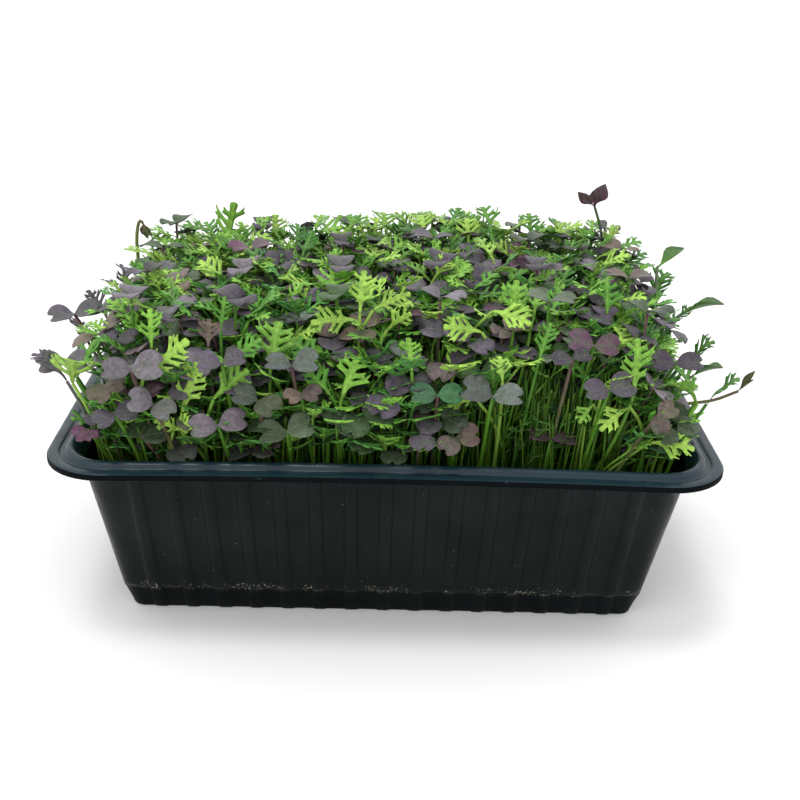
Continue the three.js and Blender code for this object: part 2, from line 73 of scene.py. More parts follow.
# The growing medium and the grid of clumps.
SOIL_TOP = 34.0
PLUG_SUNK = 0.6
ROOT_SUNK = 4.0
ROOT_LEVEL = SOIL_TOP - PLUG_SUNK - ROOT_SUNK
CANOPY_LENGTH = 212.0
CANOPY_DEPTH = 132.0
ROWS = 4
MUSTARD_COLUMNS = 6
MIZUNA_COLUMNS = MUSTARD_COLUMNS + 1
MUSTARD_SEED = 101
MIZUNA_SEED = 501
CELL_X = CANOPY_LENGTH / MUSTARD_COLUMNS
CELL_Y = CANOPY_DEPTH / ROWS
PLUG_DRAW_X = 0.14
PLUG_DRAW_Y = 0.06
CELL_MARGIN = 0.7
STALK_CLEARANCE = 2.6
STALK_NEAR = 6.5
STALK_SAMPLES = 24
LOW_HEIGHTS = (71.0, 77.0)
MIZUNA_HEIGHT = 86.0
MIZUNA_RISE = 15.0
HIGH_HEIGHT = 110.5
STALK_SPREAD = 1.9
PAIR_HALF_SPAN = 14.2
PAIR_WIDTH = 14.5
MIZUNA_LENGTH = 23.0
MIZUNA_REACH = 16.3

# Half of one notched seed leaf's outline, as in the frame, from stalk to notch.
SEED_LEAF = ((0.42, 0.37), (0.8, 0.5), (1.0, 0.27))
SEED_LEAF_NOTCH = 0.83
PAIR_WAIST = 0.07
PAIR_SCALE = 0.98
PAIR_TRIES = 80
PAIR_SHRINK = 0.985

# Seeds of the draws that scene.py adds to the frame's own.
FINE_MUSTARD_SEED = 9000
FINE_MIZUNA_SEED = 9500
OUTSTANDING_SEED = 9900
SHOWPIECE_SEED = 7000
FILL_SEED = 4242
TRIES_PER_SEEDLING = 30

CAMERA_PLACE = (-4.8, -432.1, 246.9)
SENSOR_WIDTH = 36.0
TINY = 1e-9

Place = tuple[float, float, float]
Colour = tuple[float, float, float]
Socket = bpy.types.NodeSocket
Value = Socket | float | Colour


def srgb(red: int, green: int, blue: int) -> Colour:
    """A linear colour from its everyday 0 to 255 values."""
    def channel(value: float) -> float:
        """The linear value of one channel."""
        return value / 12.92 if value <= 0.04045 else ((value + 0.055) / 1.055) ** 2.4
    return tuple(channel(value / 255) for value in (red, green, blue))


class Draw:
    """A seeded draw of numbers, the same as the frame's."""

    def __init__(self, seed: int) -> None:
        """Starts the draw from a seed."""
        self.state = (seed * 2654435761) & 0xFFFFFFFF

    def __call__(self) -> float:
        """The next number from 0 to 1."""
        self.state = (self.state * 1664525 + 1013904223) & 0xFFFFFFFF
        return self.state / 4294967296

    def between(self, low: float, high: float) -> float:
        """A number between two others."""
        return low + (high - low) * self()

    def pick(self, choices: list["Tint"], weights: list[float]) -> "Tint":
        """One of several tints, the heavier ones more often.

        Args:
            choices: the tints.
            weights: how often each comes.

        Returns:
            The tint.
        """
        mark = self() * sum(weights)
        for choice, weight in zip(choices, weights):
            mark -= weight
            if mark <= 0:
                return choice
        return choices[-1]


def swell(x: float, y: float) -> float:
    """The slow rise and fall of the leaves over the tray."""
    return 2.2 * math.sin(x / 34 + 0.7) + 1.4 * math.cos(y / 26 - x / 61)


def vec(*values: float) -> np.ndarray:
    """A point or direction as an array."""
    return np.array(values, float)


def unit(v: np.ndarray) -> np.ndarray:
    """A direction of length 1."""
    return v / max(np.linalg.norm(v), TINY)


def toward(angle: float) -> np.ndarray:
    """The level direction at an angle in radians."""
    return vec(math.cos(angle), math.sin(angle), 0.0)


def aside(angle: float) -> np.ndarray:
    """The level direction to the left of an angle in radians."""
    return vec(-math.sin(angle), math.cos(angle), 0.0)


def units(ways: np.ndarray) -> np.ndarray:
    """Directions of length 1, one in each row."""
    return ways / np.maximum(np.linalg.norm(ways, axis=1, keepdims=True), TINY)


@dataclass(frozen=True)
class Arc:
    """A quadratic curve from a start, past a bend, to an end."""

    start: np.ndarray
    bend: np.ndarray
    end: np.ndarray

    def points(self, shares: np.ndarray) -> np.ndarray:
        """The points at shares of the way along."""
        t = np.asarray(shares, float)[:, None]
        return (1 - t) ** 2 * self.start + 2 * t * (1 - t) * self.bend + t ** 2 * self.end

    def tangents(self, shares: np.ndarray) -> np.ndarray:
        """The directions at shares of the way along."""
        t = np.asarray(shares, float)[:, None]
        return units(2 * (1 - t) * (self.bend - self.start) + 2 * t * (self.end - self.bend))


@dataclass(frozen=True)
class Trail:
    """A smooth curve through several points, with the same easing between them as the frame's long stalks."""

    through: tuple[np.ndarray, ...]

    def _point(self, share: float) -> np.ndarray:
        """One point of the curve, by centripetal spacing of its knots.

        Args:
            share: the share of the way along.

        Returns:
            The point.
        """
        p = self.through
        place = (len(p) - 1) * min(max(share, 0.0), 1.0)
        k = min(int(place), len(p) - 2)
        t = place - k
        before = p[k - 1] if k > 0 else 2 * p[0] - p[1]
        after = p[k + 2] if k + 2 < len(p) else 2 * p[-1] - p[-2]
        points = (before, p[k], p[k + 1], after)
        gaps = [max(np.sum((points[n + 1] - points[n]) ** 2) ** 0.25, 1e-4) for n in range(3)]
        first = ((points[1] - points[0]) / gaps[0] - (points[2] - points[0]) / (gaps[0] + gaps[1])
                 + (points[2] - points[1]) / gaps[1]) * gaps[1]
        last = ((points[2] - points[1]) / gaps[1] - (points[3] - points[1]) / (gaps[1] + gaps[2])
                + (points[3] - points[2]) / gaps[2]) * gaps[1]
        a, b = points[1], points[2]
        return (a + first * t + (-3 * a + 3 * b - 2 * first - last) * t ** 2
                + (2 * a - 2 * b + first + last) * t ** 3)

    def points(self, shares: np.ndarray) -> np.ndarray:
        """The points at shares of the way along."""
        return np.array([self._point(share) for share in shares])

    def tangents(self, shares: np.ndarray) -> np.ndarray:
        """The directions at shares of the way along."""
        step = 1e-3
        low = self.points(np.clip(np.asarray(shares) - step, 0, 1))
        high = self.points(np.clip(np.asarray(shares) + step, 0, 1))
        return units(high - low)


Curve = Arc | Trail


class Tint(Enum):
    """The colours that the leaves and stems come in."""

    MAUVE_GREY = srgb(114, 105, 116)
    DUSK = srgb(88, 79, 94)
    PLUM = srgb(63, 52, 68)
    MAGENTA = srgb(104, 60, 90)
    ROSE_BROWN = srgb(106, 89, 80)
    SAGE = srgb(92, 107, 84)
    SLATE = srgb(104, 114, 108)
    DEEP_GREEN = srgb(50, 80, 38)
    EMERALD = srgb(56, 122, 74)
    BRIGHT = srgb(150, 191, 78)
    LIME = srgb(116, 168, 60)
    LEAF_GREEN = srgb(80, 139, 44)
    FERN = srgb(54, 108, 32)
    BLUE_GREEN = srgb(66, 126, 54)
    STEM_PALE = srgb(106, 144, 46)
    STEM_GREEN = srgb(72, 122, 28)
    STEM_DEEP = srgb(46, 92, 18)
    STEM_PURPLE = srgb(96, 58, 72)
    WILTED = srgb(88, 66, 52)

    @property
    def rgb(self) -> np.ndarray:
        """The colour as an array."""
        return np.array(self.value)


MUSTARD_TINTS = ([Tint.MAUVE_GREY, Tint.DUSK, Tint.PLUM, Tint.MAGENTA, Tint.ROSE_BROWN, Tint.SAGE,
                  Tint.SLATE, Tint.DEEP_GREEN], [0.12, 0.22, 0.3, 0.06, 0.08, 0.09, 0.04, 0.09])
MIZUNA_TINTS = ([Tint.BRIGHT, Tint.LIME, Tint.LEAF_GREEN, Tint.FERN, Tint.BLUE_GREEN],
                [0.2, 0.3, 0.28, 0.14, 0.08])
STEM_TINTS = ([Tint.STEM_PALE, Tint.STEM_GREEN, Tint.STEM_DEEP], [0.3, 0.45, 0.25])
PURPLE_TINTS = (Tint.MAUVE_GREY, Tint.DUSK, Tint.PLUM, Tint.MAGENTA, Tint.ROSE_BROWN)


class Desk:
    """Lays out the nodes of one tree."""

    def __init__(self, tree: bpy.types.NodeTree) -> None:
        """Takes the tree that the nodes go into."""
        self.tree = tree

    def put(self, value: Value, into: Socket) -> None:
        """Gives an input its value.

        Args:
            value: a number, a colour, or the output of another node.
            into: the input.
        """
        if isinstance(value, (int, float)):
            into.default_value = value
        elif isinstance(value, tuple):
            into.default_value = (*value, 1.0)
        else:
            self.tree.links.new(value, into)

    def node(self, kind: str, inputs: dict[str | int, Value], **settings: str | bool) -> bpy.types.Node:
        """Adds a node.

        Args:
            kind: the node's type.
            inputs: what goes into its inputs, by name or number.
            settings: its own settings.

        Returns:
            The node.
        """
        made = self.tree.nodes.new(kind)
        for key, setting in settings.items():
            setattr(made, key, setting)
        for key, value in inputs.items():
            self.put(value, made.inputs[key])
        return made

    def math(self, operation: str, *values: Value, clamp: bool = False) -> Socket:
        """The result of an operation on one, two or three values."""
        return self.node("ShaderNodeMath", dict(enumerate(values)), operation=operation, use_clamp=clamp).outputs[0]

    def times(self, first: Value, *others: Value) -> Socket:
        """The product of two or more values."""
        for other in others:
            first = self.math("MULTIPLY", first, other)
        return first

    def noise(self, vector: Value, scale: float, detail: float = 3.0, roughness: float = 0.55) -> Socket:
        """A noise from 0 to 1 at a place: how fine it is, how many layers it has and how rough."""
        inputs = {"Scale": scale, "Detail": detail, "Roughness": roughness, "Vector": vector}
        return self.node("ShaderNodeTexNoise", inputs).outputs["Fac"]

    def ramp(self, value: Value, low: float, high: float, to_low: float = 0.0, to_high: float = 1.0,
             way: str = "SMOOTHSTEP") -> Socket:
        """Maps a value's range to another, smoothly unless told otherwise, held at both ends."""
        inputs = {"Value": value, "From Min": low, "From Max": high, "To Min": to_low, "To Max": to_high}
        return self.node("ShaderNodeMapRange", inputs, interpolation_type=way).outputs["Result"]

    def mix(self, share: Value, a: Value, b: Value, blend: str = "MIX") -> Socket:
        """A share of the second colour mixed into the first."""
        return self.node("ShaderNodeMix", {0: share, 6: a, 7: b}, data_type="RGBA", blend_type=blend).outputs[2]

    def grey(self, value: Value) -> Socket:
        """A value as a grey colour."""
        return self.node("ShaderNodeCombineXYZ", dict.fromkeys(range(3), value)).outputs[0]

    def bump(self, height: Value, strength: float, distance: float) -> Socket:
        """The surface's direction with a fine relief, for the shader's Normal."""
        return self.node("ShaderNodeBump", {"Strength": strength, "Distance": distance, "Height": height}).outputs[0]

    def place(self) -> Socket:
        """The object coordinates."""
        return self.node("ShaderNodeTexCoord", {}).outputs["Object"]

    def stretched(self, place: Value, scale: Place) -> Socket:
        """The coordinates with each axis scaled by itself, for streaks."""
        made = self.node("ShaderNodeMapping", {"Vector": place}, vector_type="POINT")
        made.inputs["Scale"].default_value = scale
        return made.outputs[0]

    def axes(self, vector: Value) -> bpy.types.NodeOutputs:
        """The three axes of a vector, by name."""
        return self.node("ShaderNodeSeparateXYZ", {0: vector}).outputs

    def tint(self) -> Socket:
        """The colour that each point of a leaf or stem carries."""
        return self.node("ShaderNodeAttribute", {}, attribute_name="tint").outputs["Color"]


class SkinDesk(Desk):
    """Lays out the nodes of one material."""

    def __init__(self, name: str) -> None:
        """Makes an empty node material with a principled shader."""
        self.material = bpy.data.materials.new(name)
        self.material.use_nodes = True
        super().__init__(self.material.node_tree)
        self.shader = self.tree.nodes["Principled BSDF"]

    def surface(self, looks: dict[str, Value]) -> bpy.types.Material:
        """Gives the shader its looks by the names of its inputs.

        Args:
            looks: a value for each input that is named.

        Returns:
            The finished material.
        """
        for key, value in looks.items():
            self.put(value, self.shader.inputs[key])
        return self.material


@dataclass(frozen=True)
class FormedPlastic:
    """Black sheet plastic formed over a mould: satin, with scuffs on the flange, a painted blue-grey reflection on its
    upper faces and dust on the ledge.
    """

    name: str = "formed_plastic"
    smooth: float = 0.38
    gloss: float = 0.12
    roughness_range: float = 0.08
    scuffing: float = 0.55
    dustiness: float = 0.6
    dust_roughness: float = 0.4
    scratch_scale: Place = (90.0, 900.0, 900.0)

    deep: Colour = srgb(8, 13, 13)
    worn: Colour = srgb(15, 23, 22)
    # flange: a painted reflection, a lighter blue-grey for the bright surround shining in the flange's upper faces.
    flange: Colour = srgb(24, 46, 56)
    scuff: Colour = srgb(110, 126, 136)
    dust: Colour = srgb(190, 190, 168)

    # Heights in metres between which the flange's painted reflection starts, and the dust on the ledge starts and
    # ends.
    flange_reflection_from: tuple[float, float] = (0.0595, 0.0635)
    dust_from: tuple[float, float] = (0.0082, 0.0102)
    dust_to: tuple[float, float] = (0.0134, 0.0112)

    def material(self) -> bpy.types.Material:
        """The plastic as a node material.

        Returns:
            The material.
        """
        desk = SkinDesk(self.name)
        place = desk.place()
        height = desk.axes(place)["Z"]
        colour = desk.mix(desk.ramp(desk.noise(place, 38.0, 4.0), 0.35, 0.7), self.deep, self.worn)
        # The upper faces take the flange colour, a painted reflection.
        upper = desk.ramp(height, *self.flange_reflection_from)
        colour = desk.mix(upper, colour, self.flange)
        scratch = desk.ramp(desk.noise(desk.stretched(place, self.scratch_scale), 1.0, 6.0, 0.7), 0.66, 0.74)
        patch = desk.ramp(desk.noise(place, 60.0, 2.0), 0.5, 0.62)
        colour = desk.mix(desk.times(scratch, patch, upper, self.scuffing), colour, self.scuff)
        dusty = self._dusty(desk, place, height)
        colour = desk.mix(desk.times(dusty, self.dustiness), colour, self.dust)
        rough = desk.ramp(desk.noise(place, 140.0, 5.0), 0.3, 0.75, self.smooth - self.roughness_range,
                          self.smooth + self.roughness_range)
        rough = desk.math("ADD", rough, desk.times(dusty, self.dust_roughness), clamp=True)
        return desk.surface({
            "Base Color": colour, "Roughness": rough, "Specular IOR Level": self.gloss,
            "Normal": desk.bump(desk.noise(place, 420.0, 4.0), 0.12, 0.0004),
        })

    def _dusty(self, desk: Desk, place: Value, height: Value) -> Socket:
        """Where dust lies: in patches on the ledge, and a stray grain elsewhere.

        Args:
            desk: the material's nodes.
            place: the object coordinates.
            height: how high the surface is.

        Returns:
            The share of dust.
        """
        specks = desk.ramp(desk.noise(place, 1250.0, 1.0, 0.5), 0.6, 0.68)
        ledge = desk.times(desk.ramp(height, *self.dust_to),
                           desk.ramp(desk.noise(place, 85.0, 3.0), 0.42, 0.56))
        lying = desk.times(desk.times(specks, desk.ramp(height, *self.dust_from)), ledge)
        stray = desk.ramp(desk.noise(place, 1150.0, 1.0, 0.5), 0.79, 0.82)
        return desk.math("MAXIMUM", lying, desk.times(stray, 0.5))


@dataclass(frozen=True)
class PottingFibre:
    """Moist growing medium of dark plant fibre with paler crumbs."""

    dark: Colour = srgb(24, 18, 13)
    brown: Colour = srgb(58, 44, 30)
    crumb: Colour = srgb(120, 102, 74)
    roughness: float = 0.9

    def material(self) -> bpy.types.Material:
        """The medium as a node material.

        Returns:
            The material.
        """
        desk = SkinDesk("potting_fibre")
        place = desk.place()
        grain = desk.noise(place, 520.0, 6.0, 0.7)
        colour = desk.mix(desk.ramp(grain, 0.35, 0.7), self.dark, self.brown)
        crumbs = desk.ramp(desk.noise(place, 700.0, 2.0), 0.66, 0.72)
        return desk.surface({
            "Base Color": desk.mix(crumbs, colour, self.crumb), "Roughness": self.roughness,
            "Normal": desk.bump(grain, 0.9, 0.002),
        })


@dataclass(frozen=True)
class LeafSkin:
    """A leaf's surface: its own tint, mottled, with a paler midrib and side veins and fine pale specks."""

    name: str
    vein: Colour
    vein_share: float
    veins_along: float
    patch: Colour
    patch_share: float
    roughness: float
    sheen: float
    speck_share: float
    speck: Colour = srgb(168, 172, 160)
    gloss: float = 0.28
    side_vein_share: float = 0.55
    vein_slant: float = 0.9

    def material(self) -> bpy.types.Material:
        """The skin as a node material.

        Returns:
            The material.
        """
        desk = SkinDesk(self.name)
        place = desk.place()
        veins = self._veins(desk)
        mottle = desk.noise(place, 640.0, 6.0, 0.72)
        blotch = desk.ramp(desk.noise(place, 230.0, 3.0), 0.46, 0.66)
        colour = desk.mix(desk.times(blotch, self.patch_share), desk.tint(), self.patch)
        colour = desk.mix(1.0, colour, desk.grey(desk.ramp(mottle, 0.28, 0.72, 0.6, 1.4)), "MULTIPLY")
        colour = desk.mix(desk.times(veins, self.vein_share), colour, self.vein)
        speck = desk.ramp(desk.noise(place, 2100.0, 1.0, 0.5), 0.62, 0.72)
        colour = desk.mix(desk.times(speck, self.speck_share), colour, self.speck)
        relief = desk.math("SUBTRACT", desk.times(mottle, 0.6), desk.times(veins, 0.8))
        return desk.surface({
            "Base Color": colour,
            "Roughness": desk.ramp(mottle, 0.2, 0.8, self.roughness - 0.08, self.roughness + 0.12),
            "Specular IOR Level": self.gloss, "Sheen Weight": self.sheen, "Sheen Roughness": 0.5,
            "Normal": desk.bump(relief, 0.5, 0.0006),
        })

    def _veins(self, desk: Desk) -> Socket:
        """Where the midrib and the slanting side veins run over the blade.

        Args:
            desk: the material's nodes.

        Returns:
            The share of vein.
        """
        spot = desk.axes(desk.node("ShaderNodeUVMap", {}, uv_map="blade").outputs[0])
        off = desk.math("ABSOLUTE", desk.math("SUBTRACT", spot["Y"], 0.5))
        midrib = desk.ramp(off, 0.045, 0.012)
        slant = desk.math("SUBTRACT", spot["X"], desk.times(off, self.vein_slant))
        wave = desk.math("FRACT", desk.times(slant, self.veins_along))
        wave = desk.math("ABSOLUTE", desk.math("SUBTRACT", wave, 0.5))
        return desk.math("MAXIMUM", midrib, desk.times(desk.ramp(wave, 0.09, 0.02), self.side_vein_share))


@dataclass(frozen=True)
class StemSkin:
    """A stem's surface: its own tint, with fine lengthwise streaks."""

    name: str = "stem_skin"
    roughness: float = 0.42
    gloss: float = 0.25
    streak: Colour = srgb(170, 196, 110)
    streak_share: float = 0.16
    streak_scale: Place = (1.0, 1.0, 0.12)

    def material(self) -> bpy.types.Material:
        """The skin as a node material.

        Returns:
            The material.
        """
        desk = SkinDesk(self.name)
        tint = desk.tint()
        streak = desk.noise(desk.stretched(desk.place(), self.streak_scale), 1800.0, 3.0)
        pale = desk.mix(self.streak_share, tint, self.streak)
        return desk.surface({
            "Base Color": desk.mix(desk.ramp(streak, 0.45, 0.75), tint, pale),
            "Roughness": desk.ramp(streak, 0.2, 0.8, self.roughness - 0.08, self.roughness + 0.12),
            "Specular IOR Level": self.gloss, "Normal": desk.bump(streak, 0.2, 0.0002),
        })


MUSTARD_SKIN = LeafSkin("mustard_skin", srgb(104, 112, 84), 0.3, 6.0, srgb(70, 90, 58), 0.42, 0.42, 0.06, 0.28)
MIZUNA_SKIN = LeafSkin("mizuna_skin", srgb(186, 210, 104), 0.2, 7.0, srgb(60, 122, 32), 0.3, 0.42, 0.03, 0.12)


class Tools:
    """Hand tools: what is added is picked out by its place and shaped with Blender's own operators."""

    @staticmethod
    def clear() -> None:
        """Leaves nothing selected."""
        if bpy.context.object and bpy.context.object.mode == "EDIT":
            bpy.ops.object.mode_set(mode="OBJECT")
        bpy.ops.object.select_all(action="DESELECT")

    @staticmethod
    def edit(piece: bpy.types.Object, kind: str = "VERT") -> bmesh.types.BMesh:
        """Opens a piece in edit mode with nothing picked.

        Args:
            piece: the object to edit.
            kind: what is picked, VERT, EDGE or FACE.

        Returns:
            The piece's edit mesh.
        """
        Tools.clear()
        bpy.context.view_layer.objects.active = piece
        piece.select_set(True)
        bpy.ops.object.mode_set(mode="EDIT")
        bpy.ops.mesh.select_mode(type=kind)
        bpy.ops.mesh.select_all(action="DESELECT")
        return bmesh.from_edit_mesh(piece.data)

    @staticmethod
    def done(piece: bpy.types.Object) -> bpy.types.Object:
        """Closes edit mode."""
        bpy.ops.object.mode_set(mode="OBJECT")
        return piece

    @staticmethod
    def shape(piece: bpy.types.Object, move: Callable[[float, float], Place]) -> None:
        """Moves each point of a flat piece.

        Args:
            piece: the piece.
            move: a point's new place from its old x and y.
        """
        sheet = Tools.edit(piece)
        for vertex in sheet.verts:
            vertex.co = move(vertex.co.x, vertex.co.y)
        bmesh.update_edit_mesh(piece.data)
        Tools.done(piece)

    @staticmethod
    def apply(piece: bpy.types.Object, kind: str, **settings: float | bool) -> None:
        """Adds a modifier with its settings and applies it.

        Args:
            piece: the object.
            kind: the modifier's type.
            **settings: its settings.
        """
        Tools.clear()
        bpy.context.view_layer.objects.active = piece
        piece.select_set(True)
        made = piece.modifiers.new(kind.title(), kind)
        for key, value in settings.items():
            setattr(made, key, value)
        bpy.ops.object.modifier_apply(modifier=made.name)


@dataclass
class Blade:
    """A leaf modelled once, flat along +X with a length of 1, and copied onto every seedling."""

    points: np.ndarray
    faces: np.ndarray
    uv: np.ndarray

    @classmethod
    def taken(cls, piece: bpy.types.Object) -> "Blade":
        """Reads a modelled leaf into arrays and clears the model away.

        Args:
            piece: the modelled leaf.

        Returns:
            The leaf as arrays.
        """
        mesh = piece.data
        points = np.zeros(len(mesh.vertices) * 3)
        mesh.vertices.foreach_get("co", points)
        points = points.reshape(-1, 3)
        faces = [list(face.vertices) for face in mesh.polygons]
        faces = [face if len(face) == 4 else face + face[-1:] for face in faces]
        half = max(np.abs(points[:, 1]).max(), 1e-6)
        uv = np.stack([points[:, 0], 0.5 + 0.5 * points[:, 1] / half], axis=1)
        bpy.data.objects.remove(piece)
        bpy.data.meshes.remove(mesh)
        return cls(points, np.array(faces), uv)


class LeafBench:
    """Models the leaves, each once."""

    thickness: float = 0.022
    cut_thickness: float = 0.014

    def _columns(self, name: str, along: int, across: int, half_widths: list[float]) -> bpy.types.Object:
        """A flat sheet along +X whose columns are drawn in to half widths.

        Args:
            name: the piece's name.
            along: the number of faces along the leaf.
            across: the number of faces across it.
            half_widths: a half width for each column of points.

        Returns:
            The sheet.
        """
        Tools.clear()
        bpy.ops.mesh.primitive_grid_add(x_subdivisions=along, y_subdivisions=across, size=1.0,
                                        location=(0.5, 0.0, 0.0))
        piece = bpy.context.object
        piece.name = name
        bpy.ops.object.transform_apply(location=True, rotation=False, scale=False)
        for k, half in enumerate(half_widths):
            sheet = Tools.edit(piece)
            x = k / along
            for vertex in sheet.verts:
                vertex.select = abs(vertex.co.x - x) < 0.25 / along
            sheet.select_flush(True)
            bmesh.update_edit_mesh(piece.data)
            bpy.ops.transform.resize(value=(1.0, 2 * half, 1.0), center_override=(x, 0.0, 0.0))
            Tools.done(piece)
        return piece

    def _finish(self, piece: bpy.types.Object, thickness: float) -> Blade:
        """Gives the sheet its thickness and takes it off the bench.

        Args:
            piece: the sheet.
            thickness: its thickness as a share of the leaf's length.

        Returns:
            The leaf.
        """
        Tools.apply(piece, "TRIANGULATE", min_vertices=5)
        Tools.apply(piece, "SOLIDIFY", thickness=thickness, offset=0.0, use_rim=True)
        return Blade.taken(piece)

    def seed_leaf(self, notch: float, width: float, smooth: int = 0) -> Blade:
        """A heart-shaped seed leaf: a short stalk, a broad round blade and a notched end.

        Args:
            notch: how deep the end is notched, as a share of the leaf's length.
            width: the leaf's width as a share of its length.
            smooth: how many times the leaf is subdivided to round it.

        Returns:
            The leaf.
        """
        shares = [0.09, 0.12, 0.68, 1.0, 0.98, 0.6]
        stations = [0.0, 0.07, 0.18, 0.45, 0.76, 0.97]
        piece = self._columns("seed_leaf", len(shares) - 1, 4, [width / 2 * share for share in shares])
        lobes = {0.0: -notch, 0.5: 0.05, 1.0: -0.02}
        count = len(stations) - 1

        def rounded(x: float, y: float) -> Place:
            """A point's place on the notched and slightly waved leaf."""
            column = round(x * count)
            row = round(abs(y) / max(width / 2 * shares[column], 1e-6) * 2) / 2
            x = stations[column] + lobes[row] * (column / count) ** 3
            return x, y, 0.05 * abs(y) / width * 2 + 0.016 * math.sin(9 * x + 5 * y)

        Tools.shape(piece, rounded)
        if smooth:
            Tools.apply(piece, "SUBSURF", levels=smooth, render_levels=smooth)
        return self._finish(piece, self.thickness)

    def pointed_leaf(self, width: float) -> Blade:
        """An older leaf with a smooth edge and a pointed end.

        Args:
            width: the leaf's width as a share of its length.

        Returns:
            The leaf.
        """
        shares = [0.1, 0.14, 0.45, 0.85, 1.0, 0.86, 0.5, 0.06]
        piece = self._columns("pointed_leaf", len(shares) - 1, 4, [width / 2 * share for share in shares])
        Tools.shape(piece, lambda x, y: (x, y, 0.1 * abs(y) / width * 2))
        return self._finish(piece, self.thickness)

    def cut_leaf(self, seed: int, pairs: int, lobe: float, rachis: float, forked: bool, smooth: bool) -> Blade:
        """A deeply cut leaf: a narrow rib from which forked lobes are drawn out on both sides.

        Args:
            seed: the seed of the small differences between lobes.
            pairs: the number of lobes on each side.
            lobe: the length of the longest lobe, as a share of the leaf's length.
            rachis: the half width of the rib.
            forked: whether its lobes are forked at the end.
            smooth: whether the leaf is rounded by one more subdivision.

        Returns:
            The leaf.
        """
        draw = Draw(seed)
        first, last = 0.26, 0.88
        stations = [0.0, 0.14]
        for k in range(pairs):
            start = first + (last - first) * k / pairs
            step = (last - first) / pairs
            stations += [start, start + step * 0.6]
        stations += [last, 0.96, 1.0]
        piece = self._strip(stations, rachis)
        for k in range(pairs):
            for sign in (-1, 1):
                if draw() < 0.1:
                    continue
                size = lobe * (0.5 + 0.5 * math.sin(math.pi * (k + 1.0) / (pairs + 0.7))) * draw.between(0.6, 1.25)
                low = stations[2 + 2 * k]
                high = stations[3 + 2 * k]
                self._finger(piece, sign, low, high, size, draw, forked)
        if smooth:
            Tools.apply(piece, "SUBSURF", levels=1, render_levels=1)
        Tools.shape(piece, lambda x, y: (
            x, y, 0.1 * y * y / lobe + 0.02 * math.sin(11 * x + seed) - 0.04 * abs(y) * math.sin(7 * x)))
        return self._finish(piece, self.cut_thickness)

    def _strip(self, stations: list[float], rachis: float) -> bpy.types.Object:
        """The leaf's rib: a narrow strip drawn out station by station along +X.

        Args:
            stations: the places along the rib, from its stalk to its tip.
            rachis: its half width.

        Returns:
            The strip, in object mode.
        """
        Tools.clear()
        bpy.ops.mesh.primitive_plane_add(size=1.0, location=(0.5, 0.0, 0.0))
        piece = bpy.context.object
        piece.name = "cut_leaf"
        bpy.ops.object.transform_apply(location=True, rotation=False, scale=False)
        sheet = Tools.edit(piece)
        for vertex in sheet.verts:
            vertex.co.x = stations[0] if vertex.co.x < 0.5 else stations[1]
            vertex.co.y = math.copysign(rachis * 0.75, vertex.co.y)
            vertex.select = vertex.co.x > stations[0] + 1e-6
        sheet.select_flush(True)
        bmesh.update_edit_mesh(piece.data)
        bpy.ops.mesh.select_mode(type="EDGE")
        for k in range(2, len(stations)):
            step = stations[k] - stations[k - 1]
            bpy.ops.mesh.extrude_edges_move(TRANSFORM_OT_translate={"value": (step, 0.0, 0.0)})
            wide = rachis * {len(stations) - 2: 1.9, len(stations) - 1: 0.9}.get(k, 1.25)
            sheet = bmesh.from_edit_mesh(piece.data)
            now = max(abs(v.co.y) for v in sheet.verts if v.select)
            bpy.ops.transform.resize(value=(1.0, wide / now, 1.0), center_override=(stations[k], 0.0, 0.0))
        return Tools.done(piece)

    def _finger(
        self, piece: bpy.types.Object, sign: int, low: float, high: float, size: float, draw: Draw, forked: bool,
    ) -> None:
        """Draws one lobe out of the rib's side: outward, forward, a little wider, then to blunt ends.

        Args:
            piece: the leaf.
            sign: the side of the rib, 1 or -1.
            low: where the lobe starts along the rib.
            high: where it ends along the rib.
            size: its length.
            draw: the draw of small differences.
            forked: whether its end is parted in two.
        """
        sheet = Tools.edit(piece, "EDGE")
        middle = (low + high) / 2
        best = min(
            (edge for edge in sheet.edges if len(edge.link_faces) == 1
             and all(sign * vertex.co.y > 0 for vertex in edge.verts)),
            key=lambda edge: abs((edge.verts[0].co.x + edge.verts[1].co.x) / 2 - middle) + 2 * abs(
                abs(edge.verts[0].co.x - edge.verts[1].co.x) - (high - low)),
        )
        best.select = True
        sheet.select_flush(False)
        bmesh.update_edit_mesh(piece.data)
        lean = draw.between(0.4, 1.0)
        steps = [(0.36, 0.9), (0.38, 1.3)] if forked else [(0.4, 0.88), (0.36, 1.15), (0.24, 0.7)]
        for share, scale in steps:
            self._draw_out(piece, size * share * lean, sign * size * share, scale)
        if forked:
            self._fork(piece, sign, size, lean, draw)
        Tools.done(piece)

    @staticmethod
    def _draw_out(piece: bpy.types.Object, dx: float, dy: float, scale: float) -> None:
        """Extrudes the picked edge by a step and resizes it about its own middle.

        Args:
            piece: the leaf.
            dx: the step along the leaf.
            dy: the step across it.
            scale: the new edge's length against the old one's.
        """
        bpy.ops.mesh.extrude_edges_move(TRANSFORM_OT_translate={"value": (dx, dy, 0.0)})
        picked = [vertex.co for vertex in bmesh.from_edit_mesh(piece.data).verts if vertex.select]
        x = sum(co.x for co in picked) / len(picked)
        y = sum(co.y for co in picked) / len(picked)
        bpy.ops.transform.resize(value=(scale, scale, 1.0), center_override=(x, y, 0.0))

